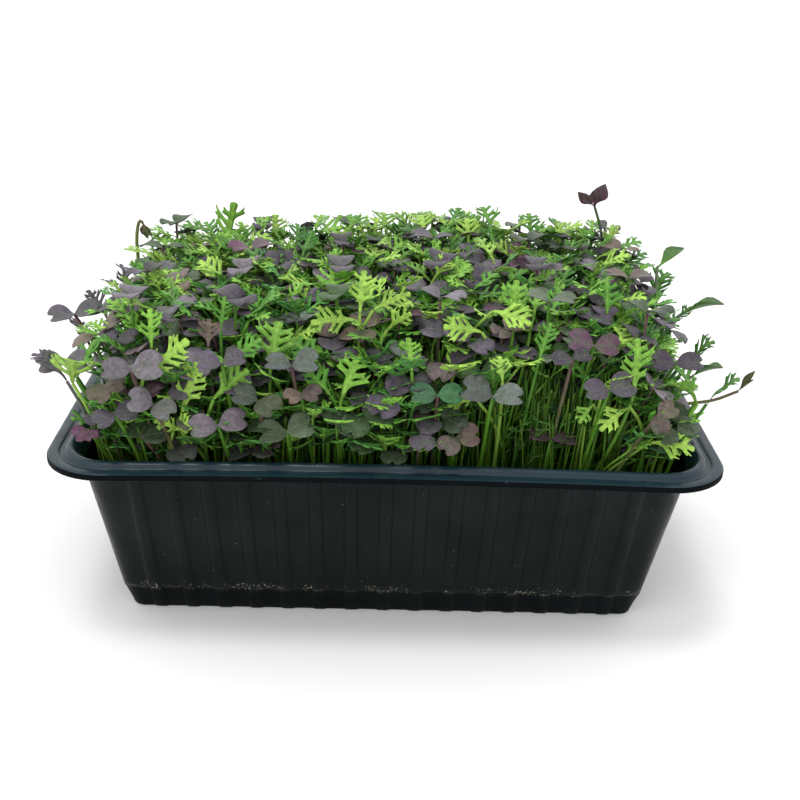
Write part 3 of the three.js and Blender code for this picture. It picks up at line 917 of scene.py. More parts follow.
    def _fork(self, piece: bpy.types.Object, sign: int, size: float, lean: float, draw: Draw) -> None:
        """Parts the picked end edge in two and draws each half out its own way.

        Args:
            piece: the leaf.
            sign: the side of the rib, 1 or -1.
            size: the lobe's length.
            lean: how far the lobe leans forward.
            draw: the draw of small differences.
        """
        bpy.ops.mesh.subdivide(number_cuts=1)
        sheet = bmesh.from_edit_mesh(piece.data)
        ends = [tuple(sum((vertex.co for vertex in edge.verts), Vector()) / 2) for edge in sheet.edges if edge.select]
        ends.sort(key=lambda end: end[0])
        for k, end in enumerate(ends):
            bpy.ops.mesh.select_all(action="DESELECT")
            sheet = bmesh.from_edit_mesh(piece.data)
            near = min((edge for edge in sheet.edges if len(edge.link_faces) == 1),
                       key=lambda edge: (sum((v.co for v in edge.verts), Vector()) / 2 - Vector(end)).length)
            near.select = True
            sheet.select_flush(False)
            bmesh.update_edit_mesh(piece.data)
            share = draw.between(0.16, 0.3)
            dx = size * share * (lean + (0.5 if k else -0.4))
            self._draw_out(piece, dx, sign * size * share * (0.75 if k else 1.0), 0.8)


class Look(IntEnum):
    """The places of a seedling piece's materials."""

    MUSTARD = 0
    MIZUNA = 1
    STEM = 2


@dataclass
class Bundle:
    """The stems and leaves of one piece, gathered as arrays and made one mesh."""

    points: list[np.ndarray] = field(default_factory=list)
    faces: list[np.ndarray] = field(default_factory=list)
    uv: list[np.ndarray] = field(default_factory=list)
    tints: list[np.ndarray] = field(default_factory=list)
    looks: list[np.ndarray] = field(default_factory=list)
    count: int = 0

    def add(self, points: np.ndarray, faces: np.ndarray, uv: np.ndarray, tints: np.ndarray, look: Look) -> None:
        """Adds a leaf or a stem.

        Args:
            points: its points in millimetres.
            faces: its faces, four corners each.
            uv: a place on the blade for each point.
            tints: a colour for each point.
            look: which of the piece's materials it has.
        """
        self.points.append(points)
        self.faces.append(faces + self.count)
        self.uv.append(uv)
        self.tints.append(tints)
        self.looks.append(np.full(len(faces), int(look)))
        self.count += len(points)

    def blade(self, leaf: Blade, curve: Curve, across: np.ndarray, length: float, tint: np.ndarray, look: Look,
              cup: float = 0.03, width: float = 1.0, twist: float = 0.0, tip_tint: np.ndarray | None = None) -> None:
        """Lays a leaf along a curve.

        Args:
            leaf: the leaf modelled on the bench.
            curve: the line of its midrib.
            across: the direction across the leaf.
            length: its length.
            tint: its colour.
            look: which of the piece's materials it has.
            cup: how much its sides rise.
            width: how wide it is against the model.
            twist: how far its tip turns about the midrib, in radians.
            tip_tint: the colour at its far end, if it differs.
        """
        u = np.clip(leaf.points[:, 0], 0.0, 1.15)
        v = leaf.points[:, 1] * length * width
        w = leaf.points[:, 2] * length
        base = curve.points(np.clip(u, 0, 1))
        way = curve.tangents(np.clip(u, 0, 1))
        base = base + way * (np.maximum(u - 1.0, 0.0) * length)[:, None]
        side = np.broadcast_to(unit(across), way.shape)
        side = side - way * np.sum(side * way, axis=1, keepdims=True)
        side = units(side)
        up = np.cross(way, side)
        turn = (twist * u)[:, None]
        side, up = side * np.cos(turn) + up * np.sin(turn), up * np.cos(turn) - side * np.sin(turn)
        points = base + side * v[:, None] + up * (w + cup * v * v)[:, None]
        tints = np.broadcast_to(tint, (len(points), 3))
        if tip_tint is not None:
            share = np.clip(u, 0, 1)[:, None] ** 1.5
            tints = tints * (1 - share) + tip_tint * share
        self.add(points, leaf.faces, leaf.uv, tints, look)

    def stem(self, curve: Curve, radii: tuple[float, float], tints: tuple[np.ndarray, np.ndarray],
             sides: int = 6, steps: int = 6) -> None:
        """Adds a round stem along a curve.

        Args:
            curve: the stem's middle line.
            radii: its radius at the root and at the top.
            tints: its colour at the root and at the top.
            sides: the sides of its section.
            steps: the lengths that it is made of.
        """
        shares = np.linspace(0, 1, steps + 1)
        centres = curve.points(shares)
        way = curve.tangents(shares)
        level = np.array([0.0, 1.0, 0.0]) if abs(way[:, 1]).max() < 0.9 else np.array([1.0, 0.0, 0.0])
        one = np.cross(way, level)
        one /= np.linalg.norm(one, axis=1, keepdims=True)
        two = np.cross(way, one)
        angle = np.arange(sides) * 2 * math.pi / sides
        radius = radii[0] + (radii[1] - radii[0]) * shares
        ring = (one[:, None] * np.cos(angle)[None, :, None] + two[:, None] * np.sin(angle)[None, :, None])
        points = (centres[:, None] + ring * radius[:, None, None]).reshape(-1, 3)
        k = np.arange(sides)
        after = (k + 1) % sides
        faces = [np.stack([s * sides + k, s * sides + after, (s + 1) * sides + after, (s + 1) * sides + k], 1)
                 for s in range(steps)]
        top = steps * sides
        caps = [[0, 3, 2, 1], [0, 5, 4, 3]] if sides == 6 else [[0, 3, 2, 1]]
        caps += [[top + n for n in reversed(cap)] for cap in caps]
        faces = np.concatenate([*faces, np.array(caps)])
        share = np.repeat(shares, sides)[:, None]
        tint = tints[0] * (1 - share) + tints[1] * share
        uv = np.stack([np.repeat(shares, sides), np.tile(k / sides, steps + 1)], 1)
        self.add(points, faces, uv, tint, Look.STEM)

    def piece(self, name: str, materials: list[bpy.types.Material]) -> bpy.types.Object:
        """Makes the gathered stems and leaves one object.

        Args:
            name: the object's name.
            materials: its materials, in the order of Look.

        Returns:
            The object.
        """
        points = np.concatenate(self.points) * MM
        faces = np.concatenate(self.faces)
        uv = np.concatenate(self.uv)
        tints = np.concatenate(self.tints)
        looks = np.concatenate(self.looks)
        mesh = bpy.data.meshes.new(name)
        corners = [face[:3] if face[2] == face[3] else face for face in faces.tolist()]
        mesh.from_pydata(points.tolist(), [], corners)
        mesh.polygons.foreach_set("material_index", looks.astype(np.int32))
        mesh.polygons.foreach_set("use_smooth", np.ones(len(corners), bool))
        loops = np.zeros(len(mesh.loops), np.int32)
        mesh.loops.foreach_get("vertex_index", loops)
        layer = mesh.uv_layers.new(name="blade")
        layer.data.foreach_set("uv", uv[loops].ravel().astype(np.float32))
        colours = mesh.color_attributes.new("tint", "FLOAT_COLOR", "POINT")
        colours.data.foreach_set("color", np.c_[tints, np.ones(len(tints))].ravel().astype(np.float32))
        for material in materials:
            mesh.materials.append(material)
        mesh.update()
        made = bpy.data.objects.new(name, mesh)
        bpy.context.collection.objects.link(made)
        return made


class Kind(Enum):
    """The two kinds of seedling, each with its record slot."""

    MUSTARD = "mustard"
    MIZUNA = "mizuna"


@dataclass(frozen=True)
class Clump:
    """A clump of the grid: where its leaves open, and where its root plug stands."""

    kind: Kind
    row: int
    column: int
    place: tuple[float, float]

    @property
    def node(self) -> str:
        """The name of its node in the frame."""
        return f"{self.kind.value}_clump_{self.row + 1}_{self.column + 1}"

    @property
    def number(self) -> int:
        """Its number in its own grid."""
        columns = MUSTARD_COLUMNS if self.kind is Kind.MUSTARD else MIZUNA_COLUMNS
        return self.row * columns + self.column

    @property
    def plug(self) -> tuple[float, float]:
        """The outer clumps lean out over the tray, so their plugs are drawn in."""
        x, y = self.place
        return (x * (1 - PLUG_DRAW_X * (x / (CANOPY_LENGTH / 2)) ** 2),
                y * (1 - PLUG_DRAW_Y * (y / (CANOPY_DEPTH / 2)) ** 2))


def grid_of(kind: Kind) -> list[Clump]:
    """All the clumps of one kind, row by row."""
    columns = MUSTARD_COLUMNS if kind is Kind.MUSTARD else MIZUNA_COLUMNS
    return [Clump(kind, row, column, ((column - (columns - 1) / 2) * CELL_X, (row - (ROWS - 1) / 2) * CELL_Y))
            for row in range(ROWS) for column in range(columns)]


@dataclass(frozen=True)
class Pair:
    """A pair of seed leaves: where it sits, how it is turned and tilted, its size and its fold."""

    at: Place
    turn: float
    scale: float
    tilt: float
    tilt_turn: float
    fold: float


@dataclass(frozen=True)
class CutLeaf:
    """A mizuna leaf of a clump: the way it faces, its length, how far it rises and how much it arches."""

    turn: float
    length: float
    rise: float
    arch: float


@dataclass(frozen=True)
class Outstanding:
    """An older leaf or long stem that stands out of the rest, on a stalk through given points."""

    clump: str
    shape: str
    facing: float
    arch: float
    stalk: tuple[Place, ...]
    base: Place
    tip: Place


OUTSTANDING = (
    Outstanding("mizuna_clump_2_7", "bud", 0, 0.1,
                ((97, -15.6, 50), (101.6, -15, 61), (105.6, -14.6, 66.9), (112, -14, 68), (121, -13.6, 69.4)),
                (129.5, -14, 73.4), (135, -14.4, 78.6)),
    Outstanding("mizuna_clump_2_7", "pointed", -60, 0.12,
                ((97, -19, 60), (103, -24, 76)), (107.6, -27.4, 84), (115.6, -37, 91.5)),
    Outstanding("mizuna_clump_3_7", "pointed", -40, 0.14,
                ((97, 14, 60), (104, 11, 82)), (110, 6.5, 95.5), (123.6, -1, 102.5)),
    Outstanding("mizuna_clump_3_7", "pointed", 45, 0.1,
                ((97, 18, 60), (103, 22, 88)), (103.5, 25, 108), (114.5, 31, 114.5)),
    Outstanding("mizuna_clump_4_2", "cut", -90, -0.08,
                ((-67, 48.5, 60), (-68.6, 49.4, 84)), (-67.4, 50, 101), (-62.4, 51.6, 123)),
    Outstanding("mizuna_clump_4_1", "bud", -90, 0.2,
                ((-95, 48.4, 60), (-100.6, 49.6, 88), (-102, 51, 108), (-100.6, 52, 114)),
                (-99.2, 51, 113.4), (-97.4, 49, 107)),
    Outstanding("mustard_clump_4_6", "pointed", -90, -0.06,
                ((84, 48.6, 60), (88.2, 49.4, 88), (87.4, 49.6, 104)), (84.2, 50, 118), (80.6, 50.6, 134.5)),
)


class Planting:
    """The frame's own seedlings, worked out again by the frame's rule."""

    def __init__(self) -> None:
        """Works out every clump's seedlings."""
        self.mizuna = grid_of(Kind.MIZUNA)
        self.mustard = grid_of(Kind.MUSTARD)
        self.cut = {clump.node: self._cut_leaves(clump) for clump in self.mizuna}
        self.stalks = np.concatenate([self._stalk_points(clump) for clump in self.mizuna])
        self.pairs = {clump.node: self._pairs(clump) for clump in self.mustard}

    @staticmethod
    def root(plug: tuple[float, float], out: float, turn: float) -> np.ndarray:
        """Where a stem starts in its root plug."""
        return vec(plug[0] + out * math.cos(turn), plug[1] + out * math.sin(turn), ROOT_LEVEL)

    @staticmethod
    def top(clump: Clump) -> Place:
        """Where a mizuna clump opens."""
        return (*clump.place, MIZUNA_HEIGHT + swell(*clump.place))

    @staticmethod
    def stalk(clump: Clump, leaf: CutLeaf) -> Arc:
        """A mizuna leaf's stalk.

        Args:
            clump: its clump.
            leaf: the leaf.

        Returns:
            Its middle line.
        """
        x, y, z = Planting.top(clump)
        root = Planting.root(clump.plug, STALK_SPREAD, leaf.turn)
        base = vec(x + STALK_SPREAD * math.cos(leaf.turn), y + STALK_SPREAD * math.sin(leaf.turn), z)
        bend = root + (base - root) * 0.2
        bend[2] = root[2] + (base[2] - root[2]) * 0.6
        return Arc(root, bend, base)

    @staticmethod
    def trail(clump: Clump, item: Outstanding) -> Trail:
        """The stalk of a leaf that stands out."""
        root = vec(*clump.plug, ROOT_LEVEL)
        return Trail((root, *(vec(*point) for point in item.stalk), vec(*item.base)))

    def _cut_leaves(self, clump: Clump) -> list[CutLeaf]:
        """A mizuna clump's leaves, spread round it in turn.

        Args:
            clump: the clump.

        Returns:
            The leaves.
        """
        draw = Draw(MIZUNA_SEED + clump.number)
        count = 2 if (clump.row + clump.column) % 3 else 3
        first = draw() * 2 * math.pi
        leaves = []
        for k in range(count):
            turn = first + ((k + (draw() - 0.5) * 0.35) * 2 * math.pi) / count
            rise = MIZUNA_RISE * (0.72 + draw() * 0.28)
            reach = min(MIZUNA_REACH, MIZUNA_REACH * (0.86 + draw() * 0.14)) - 1.3
            length = min(MIZUNA_LENGTH, math.hypot(reach, rise))
            leaves.append(CutLeaf(turn, length, rise, 0.12 + draw() * 0.16))
        return leaves

    def _stalk_points(self, clump: Clump) -> np.ndarray:
        """Points along the stalks that the low pairs keep clear of."""
        shares = np.linspace(0, 1, STALK_SAMPLES + 1)
        curves = [self.stalk(clump, leaf) for leaf in self.cut[clump.node]]
        curves += [self.trail(clump, item) for item in OUTSTANDING if item.clump == clump.node]
        return np.concatenate([curve.points(shares) for curve in curves])

    @staticmethod
    def _outline(scale: float) -> np.ndarray:
        """The outline of a pair, with points half way along its edges and half way in.

        Args:
            scale: the pair's size.

        Returns:
            A row for each point, level and about its middle.
        """
        half_span, width = PAIR_HALF_SPAN * scale, PAIR_WIDTH * scale
        near = [(u * half_span, -v * width) for u, v in SEED_LEAF]
        far = [(u * half_span, v * width) for u, v in reversed(SEED_LEAF)]
        right = [*near, (SEED_LEAF_NOTCH * half_span, 0.0), *far]
        left = [(-u, -v) for u, v in right]
        edge = np.array([(0.0, -PAIR_WAIST * width), *right, (0.0, PAIR_WAIST * width), *left])
        both = np.concatenate([edge, (edge + np.roll(edge, -1, axis=0)) / 2])
        return np.concatenate([both, both / 2])

    def _fits(self, clump: Clump, at: Place, turn: float, scale: float) -> bool:
        """Whether a pair stays in its cell and clear of the stalks.

        Args:
            clump: the pair's clump.
            at: where the pair sits.
            turn: how it is turned.
            scale: its size.

        Returns:
            Whether it fits.
        """
        u, v = self._outline(scale).T
        x = at[0] + u * math.cos(turn) - v * math.sin(turn)
        y = at[1] + u * math.sin(turn) + v * math.cos(turn)
        if np.abs(x - clump.place[0]).max() >= CELL_X / 2 - CELL_MARGIN:
            return False
        if np.abs(y - clump.place[1]).max() >= CELL_Y / 2 - CELL_MARGIN:
            return False
        near = self.stalks[np.abs(self.stalks[:, 2] - at[2]) < STALK_NEAR]
        gaps = np.hypot(near[:, 0][:, None] - x, near[:, 1][:, None] - y)
        return bool(gaps.size == 0 or gaps.min() > STALK_CLEARANCE)

    def _pairs(self, clump: Clump) -> list[Pair]:
        """A mustard clump's two low pairs and its tall one.

        Args:
            clump: the clump.

        Returns:
            The pairs, from the lowest up.
        """
        draw = Draw(MUSTARD_SEED + clump.number)
        x, y = clump.place
        pairs = []
        for k, height in enumerate(LOW_HEIGHTS):
            scale = PAIR_SCALE
            for _ in range(PAIR_TRIES):
                px = x + (draw() - 0.5) * 8
                py = y + (1 if k else -1) * (5.5 + draw() * 3)
                turn = (draw() - 0.5) * 1.1
                at = (px, py, height + swell(px, py))
                if self._fits(clump, at, turn, scale):
                    tilt_turn = math.atan2(py, px)
                    pairs.append(Pair(at, turn, scale, 0.1 + draw() * 0.08, tilt_turn, 0.16 + draw() * 0.1))
                    break
                scale *= PAIR_SHRINK
        px = x + (draw() - 0.5) * 2
        py = y + CELL_Y / 2 - 1.2
        at = (px, py, HIGH_HEIGHT + swell(px, py) + draw() * 2)
        turn = draw() * math.pi
        scale = 0.92 + draw() * 0.16
        tilt = (draw() - 0.5) * 0.2
        pairs.append(Pair(at, turn, scale, tilt, draw() * 6, 0.2 + draw() * 0.15))
        return pairs


@dataclass(frozen=True)
class Showpiece:
    """A seedling that stands out in the stand: its kind of leaf, where it opens, its size, way and colour."""

    leaf: str
    at: Place
    size: float
    facing: float
    rise: float
    tint: Tint
    spread: float = 180.0


class Canopy:
    """The top of the stand as a height, and where the seedlings' stems come up."""

    half_length: float = 103.0
    half_depth: float = 68.0
    lowest: float = 72.0
    crown: float = 107.0
    back_rise: float = 5.0
    # The front, the back and the two ends: where each starts to fall, over what way, how far and how steeply.
    falls: tuple[tuple[float, float, float, float], ...] = ((36, 34, 24, 1.3), (58, 14, 9, 1.5), (84, 26, 16, 1.6))
    drawn_in: tuple[float, float] = (0.82, 0.78)
    root_edge: tuple[float, float] = (90.0, 50.0)
    wall_edge: tuple[float, float] = (97.0, 57.0)
    bend_height: float = 0.62

    def height(self, x: float, y: float) -> float:
        """How high the leaves reach at a place."""
        top = self.crown + swell(x, y) + self.back_rise * y / (CANOPY_DEPTH / 2)
        for out, (start, over, drop, power) in zip((-y, y, abs(x)), self.falls):
            top -= drop * max(0.0, (out - start) / over) ** power
        return max(top, self.lowest + 4)

    def inside(self, x: float, y: float) -> bool:
        """Whether a place is within the stand's rounded edge."""
        return (abs(x) / self.half_length) ** 4 + (abs(y) / self.half_depth) ** 4 < 1

    def stem_to(self, at: np.ndarray, draw: Draw, way: np.ndarray | None = None) -> Arc:
        """The stem that carries a leaf at a place, up from the medium and inside the tray's wall.

        Args:
            at: where the leaf starts.
            draw: the draw of small differences.
            way: the direction in which the leaf starts, where the stem leads into it.

        Returns:
            The stem's middle line.
        """
        x, y, z = at
        if way is not None:
            x, y, _ = at - way * 0.5 * (z - SOIL_TOP)
        root = vec(*(np.clip(place * share + draw.between(-4, 4), -edge, edge)
                     for place, share, edge in zip((x, y), self.drawn_in, self.root_edge)), SOIL_TOP - 1)
        share = 0.55 if way is None else 0.85
        bend = vec(*(np.clip(low + (place - low) * share, -edge, edge)
                     for place, low, edge in zip((x, y), root, self.wall_edge)),
                   root[2] + (z - root[2]) * self.bend_height)
        return Arc(root, bend, at)


class Stand:
    """All the seedlings: those of the frame, those that stand out and those that fill the stand."""

    mustard_extra: int = 400
    mizuna_extra: int = 835
    edge_extra: int = 420
    sprigs: int = 120
    bare_stems: int = 900
    # How each kind fills the stand: how far above the canopy, how far down from there, how steeply, how far apart.
    filling: dict[Kind, tuple[float, ...]] = {Kind.MUSTARD: (0, 22, 1.5, 8.2), Kind.MIZUNA: (4, 24, 1.3, 5.6)}
    edge_gap: dict[Kind, float] = {Kind.MUSTARD: 9.0, Kind.MIZUNA: 6.0}
    # The strips of the edge: up to what share of the draws, from where to where across, and in depth.
    edge_strips: tuple = ((0.42, (-100, 16), (-64, -44)), (0.49, (84, 100), (-64, -44)), (0.86, (-98, 98), (24, 65)))
    # Painted light and shade on the seedlings' tints: at the front, how much less at the back, per millimetre down,
    # and low in front.
    light: float = 1.32
    back_loss: float = 0.42
    depth_loss: float = 0.016
    low_loss: float = 0.13
    darkest: float = 0.5
    # Radii at the root and at the top: the frame's stalks, and the stems of cut showpieces, of the fill and of sprigs.
    stalk_radii: tuple[float, float] = (0.85, 0.6)
    show_radii: tuple[float, float] = (0.8, 0.55)
    fill_radii: tuple[float, float] = (0.65, 0.42)
    sprig_radii: tuple[float, float] = (0.5, 0.35)

    def __init__(self, planting: Planting) -> None:
        """Models the leaves and opens a bundle for each clump.

        Args:
            planting: the frame's own seedlings.
        """
        self.planting = planting
        self.canopy = Canopy()
        bench = LeafBench()
        self.hearts = [bench.seed_leaf(0.17, 1.06), bench.seed_leaf(0.12, 0.98), bench.seed_leaf(0.22, 1.14)]
        self.round_hearts = [bench.seed_leaf(0.24, 1.1, 1), bench.seed_leaf(0.18, 1.02, 1)]
        self.fine_hearts = [bench.seed_leaf(0.26, 1.12, 2), bench.seed_leaf(0.2, 1.04, 2)]
        self.pointed = bench.pointed_leaf(0.58)
        self.bud = bench.pointed_leaf(0.4)
        self.cuts = [bench.cut_leaf(*shape, forked=False, smooth=False) for shape in (
            (3, 2, 0.34, 0.055), (7, 3, 0.3, 0.05), (11, 3, 0.36, 0.05), (17, 2, 0.4, 0.06), (23, 3, 0.26, 0.055))]
        forked = ((5, 3, 0.36, 0.05), (13, 4, 0.3, 0.045), (19, 3, 0.4, 0.055), (29, 4, 0.26, 0.05))
        self.forked_cuts = [bench.cut_leaf(*shape, forked=True, smooth=False) for shape in forked]
        self.fine_cuts = [bench.cut_leaf(*shape, forked=True, smooth=True) for shape in forked]
        for group in (self.hearts, self.round_hearts, self.fine_hearts, self.cuts, self.forked_cuts, self.fine_cuts):
            log.info("leaf models with faces: %s", [len(leaf.faces) for leaf in group])
        self.bundles = {clump.node: Bundle() for clump in [*planting.mustard, *planting.mizuna]}
        self.taken: dict[Kind, list[np.ndarray]] = {Kind.MUSTARD: [], Kind.MIZUNA: []}
        self.showpieces: list[tuple[np.ndarray, float]] = []

    def clump_near(self, kind: Kind, x: float, y: float) -> str:
        """The node of the clump of a kind that is nearest to a place."""
        clumps = self.planting.mustard if kind is Kind.MUSTARD else self.planting.mizuna
        return min(clumps, key=lambda c: (c.place[0] - x) ** 2 + (c.place[1] - y) ** 2).node

    def painted_shade_at(self, place: np.ndarray) -> float:
        """Painted light and shade: how much lighter the seedlings' tints are made at the top of the stand than deep in
        it, toward the back and low at the front.
        """
        depth = self.canopy.height(place[0], place[1]) - place[2]
        front = max(0.0, (84 - place[2]) / 20)
        light = self.light - self.back_loss * min(1.0, max(0.0, (place[1] + 20) / 50))
        return max(self.darkest, light - self.depth_loss * max(depth, 0.0) - self.low_loss * front)

    def seed_pair(self, bundle: Bundle, at: np.ndarray, axes: Matrix, span: float, draw: Draw, tint: Tint,
                  fold: float, spread: float = math.pi, models: list[Blade] | None = None,
                  gain: float = 1.0) -> None:
        """Lays a pair of seed leaves at the top of a stem.

        Args:
            bundle: the piece's stems and leaves.
            at: the top of the stem.
            axes: the pair's own axes, along the pair, across it and up.
            span: the length of one leaf.
            draw: the draw of small differences.
            tint: the pair's colour.
            fold: how steeply the leaves rise from the stem.
            spread: the angle between the two leaves, in radians.
            models: the leaves to choose from, if they aren't the plain ones.
            gain: how light the pair is against its colour, lowered as painted shade for low pairs.
        """
        for sign in (-1, 1):
            turn = sign * spread / 2 - math.pi / 2 + draw.between(-0.1, 0.1)
            along = vec(*(axes @ Vector((math.cos(turn), math.sin(turn), 0.0))))
            across = vec(*(axes @ Vector((-math.sin(turn), math.cos(turn), 0.0))))
            up = vec(*(axes @ Vector((0.0, 0.0, 1.0))))
            length = span * draw.between(0.9, 1.06)
            tip = at + along * length + up * fold * 0.25 * length
            bend = at + along * length * 0.5 + up * fold * length * 0.62
            other = draw.pick(*MUSTARD_TINTS).rgb
            share = 0.45 * draw() ** 2
            shade = (tint.rgb * (1 - share) + other * share) * draw.between(0.88, 1.34) * gain
            shade = shade if models else shade * self.painted_shade_at(at)
            choice = models or self.hearts
            leaf = choice[int(draw() * len(choice))]
            bundle.blade(leaf, Arc(at, bend, tip), across, length, shade, Look.MUSTARD,
                         cup=draw.between(0.004, 0.022), width=draw.between(0.92, 1.08),
                         twist=draw.between(-0.2, 0.2))

    def mustard_stem(self, bundle: Bundle, curve: Curve, draw: Draw, thick: float = 1.0) -> None:
        """Adds the stem of a mustard seedling, green below and often tinged purple under its leaves.

        Args:
            bundle: the piece's stems and leaves.
            curve: the stem's middle line.
            draw: the draw of small differences.
            thick: how thick it is against the usual.
        """
        low = draw.pick(*STEM_TINTS).rgb
        high = (Tint.STEM_PURPLE if draw() < 0.35 else Tint.STEM_GREEN).rgb
        bundle.stem(curve, (0.72 * thick, 0.5 * thick), (low, high))

    @staticmethod
    def leaf_way(facing: float, length: float, rise: float, arch: float) -> np.ndarray:
        """The direction in which an arched leaf starts."""
        reach = math.sqrt(max(length ** 2 - rise ** 2, 1.0))
        return unit(vec(reach * math.cos(facing) / 2, reach * math.sin(facing) / 2, rise / 2 + arch * length))

    def cut_leaf(self, bundle: Bundle, base: np.ndarray, facing: float, length: float, rise: float, arch: float,
                 draw: Draw, tint: Tint, models: list[Blade], deep: bool = True,
                 across: np.ndarray | None = None) -> None:
        """Lays a cut leaf from its base outward and up, arching over.

        Args:
            bundle: the piece's stems and leaves.
            base: where the leaf starts.
            facing: the way it faces, in radians.
            length: its length.
            rise: how far its tip stands above its base.
            arch: how much it arches, as a share of its length.
            draw: the draw of small differences.
            tint: its colour.
            models: the leaves to choose from.
            deep: whether it gets painted shade deeper in the stand.
            across: the direction across the leaf, if it doesn't lie level.
        """
        reach = math.sqrt(max(length ** 2 - rise ** 2, 1.0))
        tip = base + vec(reach * math.cos(facing), reach * math.sin(facing), rise)
        bend = (base + tip) / 2 + vec(0, 0, arch * length)
        leaf = models[int(draw() * len(models))]
        shade = tint.rgb * draw.between(0.85, 1.15)
        shade = shade * self.painted_shade_at(tip) if deep else shade
        tip_shade = shade * draw.between(0.95, 1.25)
        level = aside(facing)
        look = Look.MUSTARD if tint in PURPLE_TINTS else Look.MIZUNA
        bundle.blade(leaf, Arc(base, bend, tip), level if across is None else across, length, shade, look,
                     cup=draw.between(-0.01, 0.03), width=draw.between(0.85, 1.2), twist=draw.between(-0.5, 0.5),
                     tip_tint=tip_shade)

    def plant_frame(self) -> None:
        """Makes the finer copies of the frame's own seedlings."""
        for clump in self.planting.mustard:
            draw = Draw(FINE_MUSTARD_SEED + clump.number)
            for pair in self.planting.pairs[clump.node]:
                self._plant_pair(clump, pair, draw)
        for clump in self.planting.mizuna:
            draw = Draw(FINE_MIZUNA_SEED + clump.number)
            for leaf in self.planting.cut[clump.node]:
                self._plant_leaf(clump, leaf, draw)
        for number, item in enumerate(OUTSTANDING):
            self._plant_outstanding(item, Draw(OUTSTANDING_SEED + number))

    def _plant_pair(self, clump: Clump, pair: Pair, draw: Draw) -> None:
        """Makes one of the frame's pairs of seed leaves, with its stem.

        Args:
            clump: the pair's clump.
            pair: the pair.
            draw: the draw of small differences.
        """
        bundle = self.bundles[clump.node]
        at = vec(*pair.at)
        plug = vec(*clump.plug, ROOT_LEVEL)
        root = plug + (at - plug) * vec(0.06, 0.06, 0)
        bend = plug + (at - plug) * vec(0.85, 0.85, 0.55)
        self.mustard_stem(bundle, Arc(root, bend, at), draw)
        tilt = Matrix.Rotation(pair.tilt, 3, Vector((-math.sin(pair.tilt_turn), math.cos(pair.tilt_turn), 0)))
        axes = tilt @ Matrix.Rotation(pair.turn, 3, "Z")
        tint = draw.pick(*MUSTARD_TINTS)
        tall = at[2] > HIGH_HEIGHT - 6
        share = 0.64 - 0.07 * at[1] / 66 if tall else 0.7
        if not tall and tint in PURPLE_TINTS and draw() < 0.6:
            tint = Tint.EMERALD if at[0] > 20 else Tint.DEEP_GREEN
        # Low pairs get painted shade: a gain of 0.7 against 0.95 for the tall ones.
        self.seed_pair(bundle, at, axes, PAIR_HALF_SPAN * pair.scale * share, draw, tint,
                       pair.fold * (2.4 if tall else 1.8), models=self.round_hearts, gain=0.95 if tall else 0.7)
        self.taken[Kind.MUSTARD].append(at)

    def _plant_leaf(self, clump: Clump, leaf: CutLeaf, draw: Draw) -> None:
        """Makes one of the frame's mizuna leaves, with its stalk.

        Args:
            clump: the leaf's clump.
            leaf: the leaf.
            draw: the draw of small differences.
        """
        bundle = self.bundles[clump.node]
        stalk = self.planting.stalk(clump, leaf)
        reach = stalk.end[0] + leaf.length * math.cos(leaf.turn)
        outer = abs(reach) > 112
        tint = (Tint.DUSK if reach < 0 else Tint.FERN) if outer else draw.pick(*MIZUNA_TINTS)
        bundle.stem(stalk, self.stalk_radii, (Tint.STEM_PALE.rgb, tint.rgb))
        share = 0.74 if outer else 0.95
        self.cut_leaf(bundle, stalk.end, leaf.turn, leaf.length * share, leaf.rise * share, leaf.arch, draw,
                      tint, self.fine_cuts, False)
        self.taken[Kind.MIZUNA].append(stalk.end + vec(
            8 * math.cos(leaf.turn), 8 * math.sin(leaf.turn), leaf.rise * 0.6))

    def _plant_outstanding(self, item: Outstanding, draw: Draw) -> None:
        """Makes one of the leaves or long stems that stand out.

        Args:
            item: the leaf or stem.
            draw: the draw of small differences.
        """
        clumps = [*self.planting.mustard, *self.planting.mizuna]
        clump = next(clump for clump in clumps if clump.node == item.clump)
        bundle = self.bundles[clump.node]
        trail = self.planting.trail(clump, item)
        facing = math.radians(item.facing)
        across = aside(facing)
        base, tip = vec(*item.base), vec(*item.tip)
        length = float(np.linalg.norm(tip - base))
        arc = Arc(base, (base + tip) / 2 + vec(0, 0, item.arch * length), tip)
        wilted = Tint.WILTED.rgb
        purple = clump.kind is Kind.MUSTARD
        shade = (Tint.PLUM if purple else Tint.SAGE).rgb
        bundle.stem(trail, self.stalk_radii,
                    (Tint.STEM_PALE.rgb, wilted if item.shape == "bud" else shade), steps=16)
        if item.shape == "bud":
            for turn in (-0.6, 0.1, 0.8):
                side = across * math.cos(turn) + vec(0, 0, 1) * math.sin(turn)
                end = base + (tip - base) * draw.between(0.7, 1.05) + side * length * turn * 0.5
                bundle.blade(self.bud, Arc(base, (base + end) / 2, end), side, length * draw.between(0.7, 1.0),
                             wilted * draw.between(0.6, 1.1), Look.MUSTARD if purple else Look.MIZUNA, cup=0.1)
        elif item.shape == "cut":
            bundle.blade(self.fine_cuts[1], arc, across, length, Tint.LIME.rgb, Look.MIZUNA)
        elif purple:
            fork = base + (tip - base) * 0.45 + vec(-1.2, 0, 0)
            bundle.stem(Arc(base, (base + fork) / 2, fork), (0.6, 0.5), (Tint.STEM_GREEN.rgb, shade), steps=3)
            for way, width in ((vec(3.4, -1, 9.2), 1.1), (vec(-7.2, -0.5, 5.6), 0.85), (vec(-0.9, -0.6, 6.6), 1.1)):
                end = fork + way
                side = unit(np.cross(way, vec(0.2, 0.95, 0.1)))
                bundle.blade(self.pointed, Arc(fork, (fork + end) / 2, end), side, float(np.linalg.norm(way)),
                             Tint.MAGENTA.rgb * 0.75, Look.MUSTARD, cup=0.03, width=width)
        else:
            leafy = Tint.LEAF_GREEN.rgb * 0.75
            bundle.blade(self.pointed, arc, across, length, leafy, Look.MIZUNA, cup=0.06, tip_tint=shade * 0.8,
                         width=0.8)

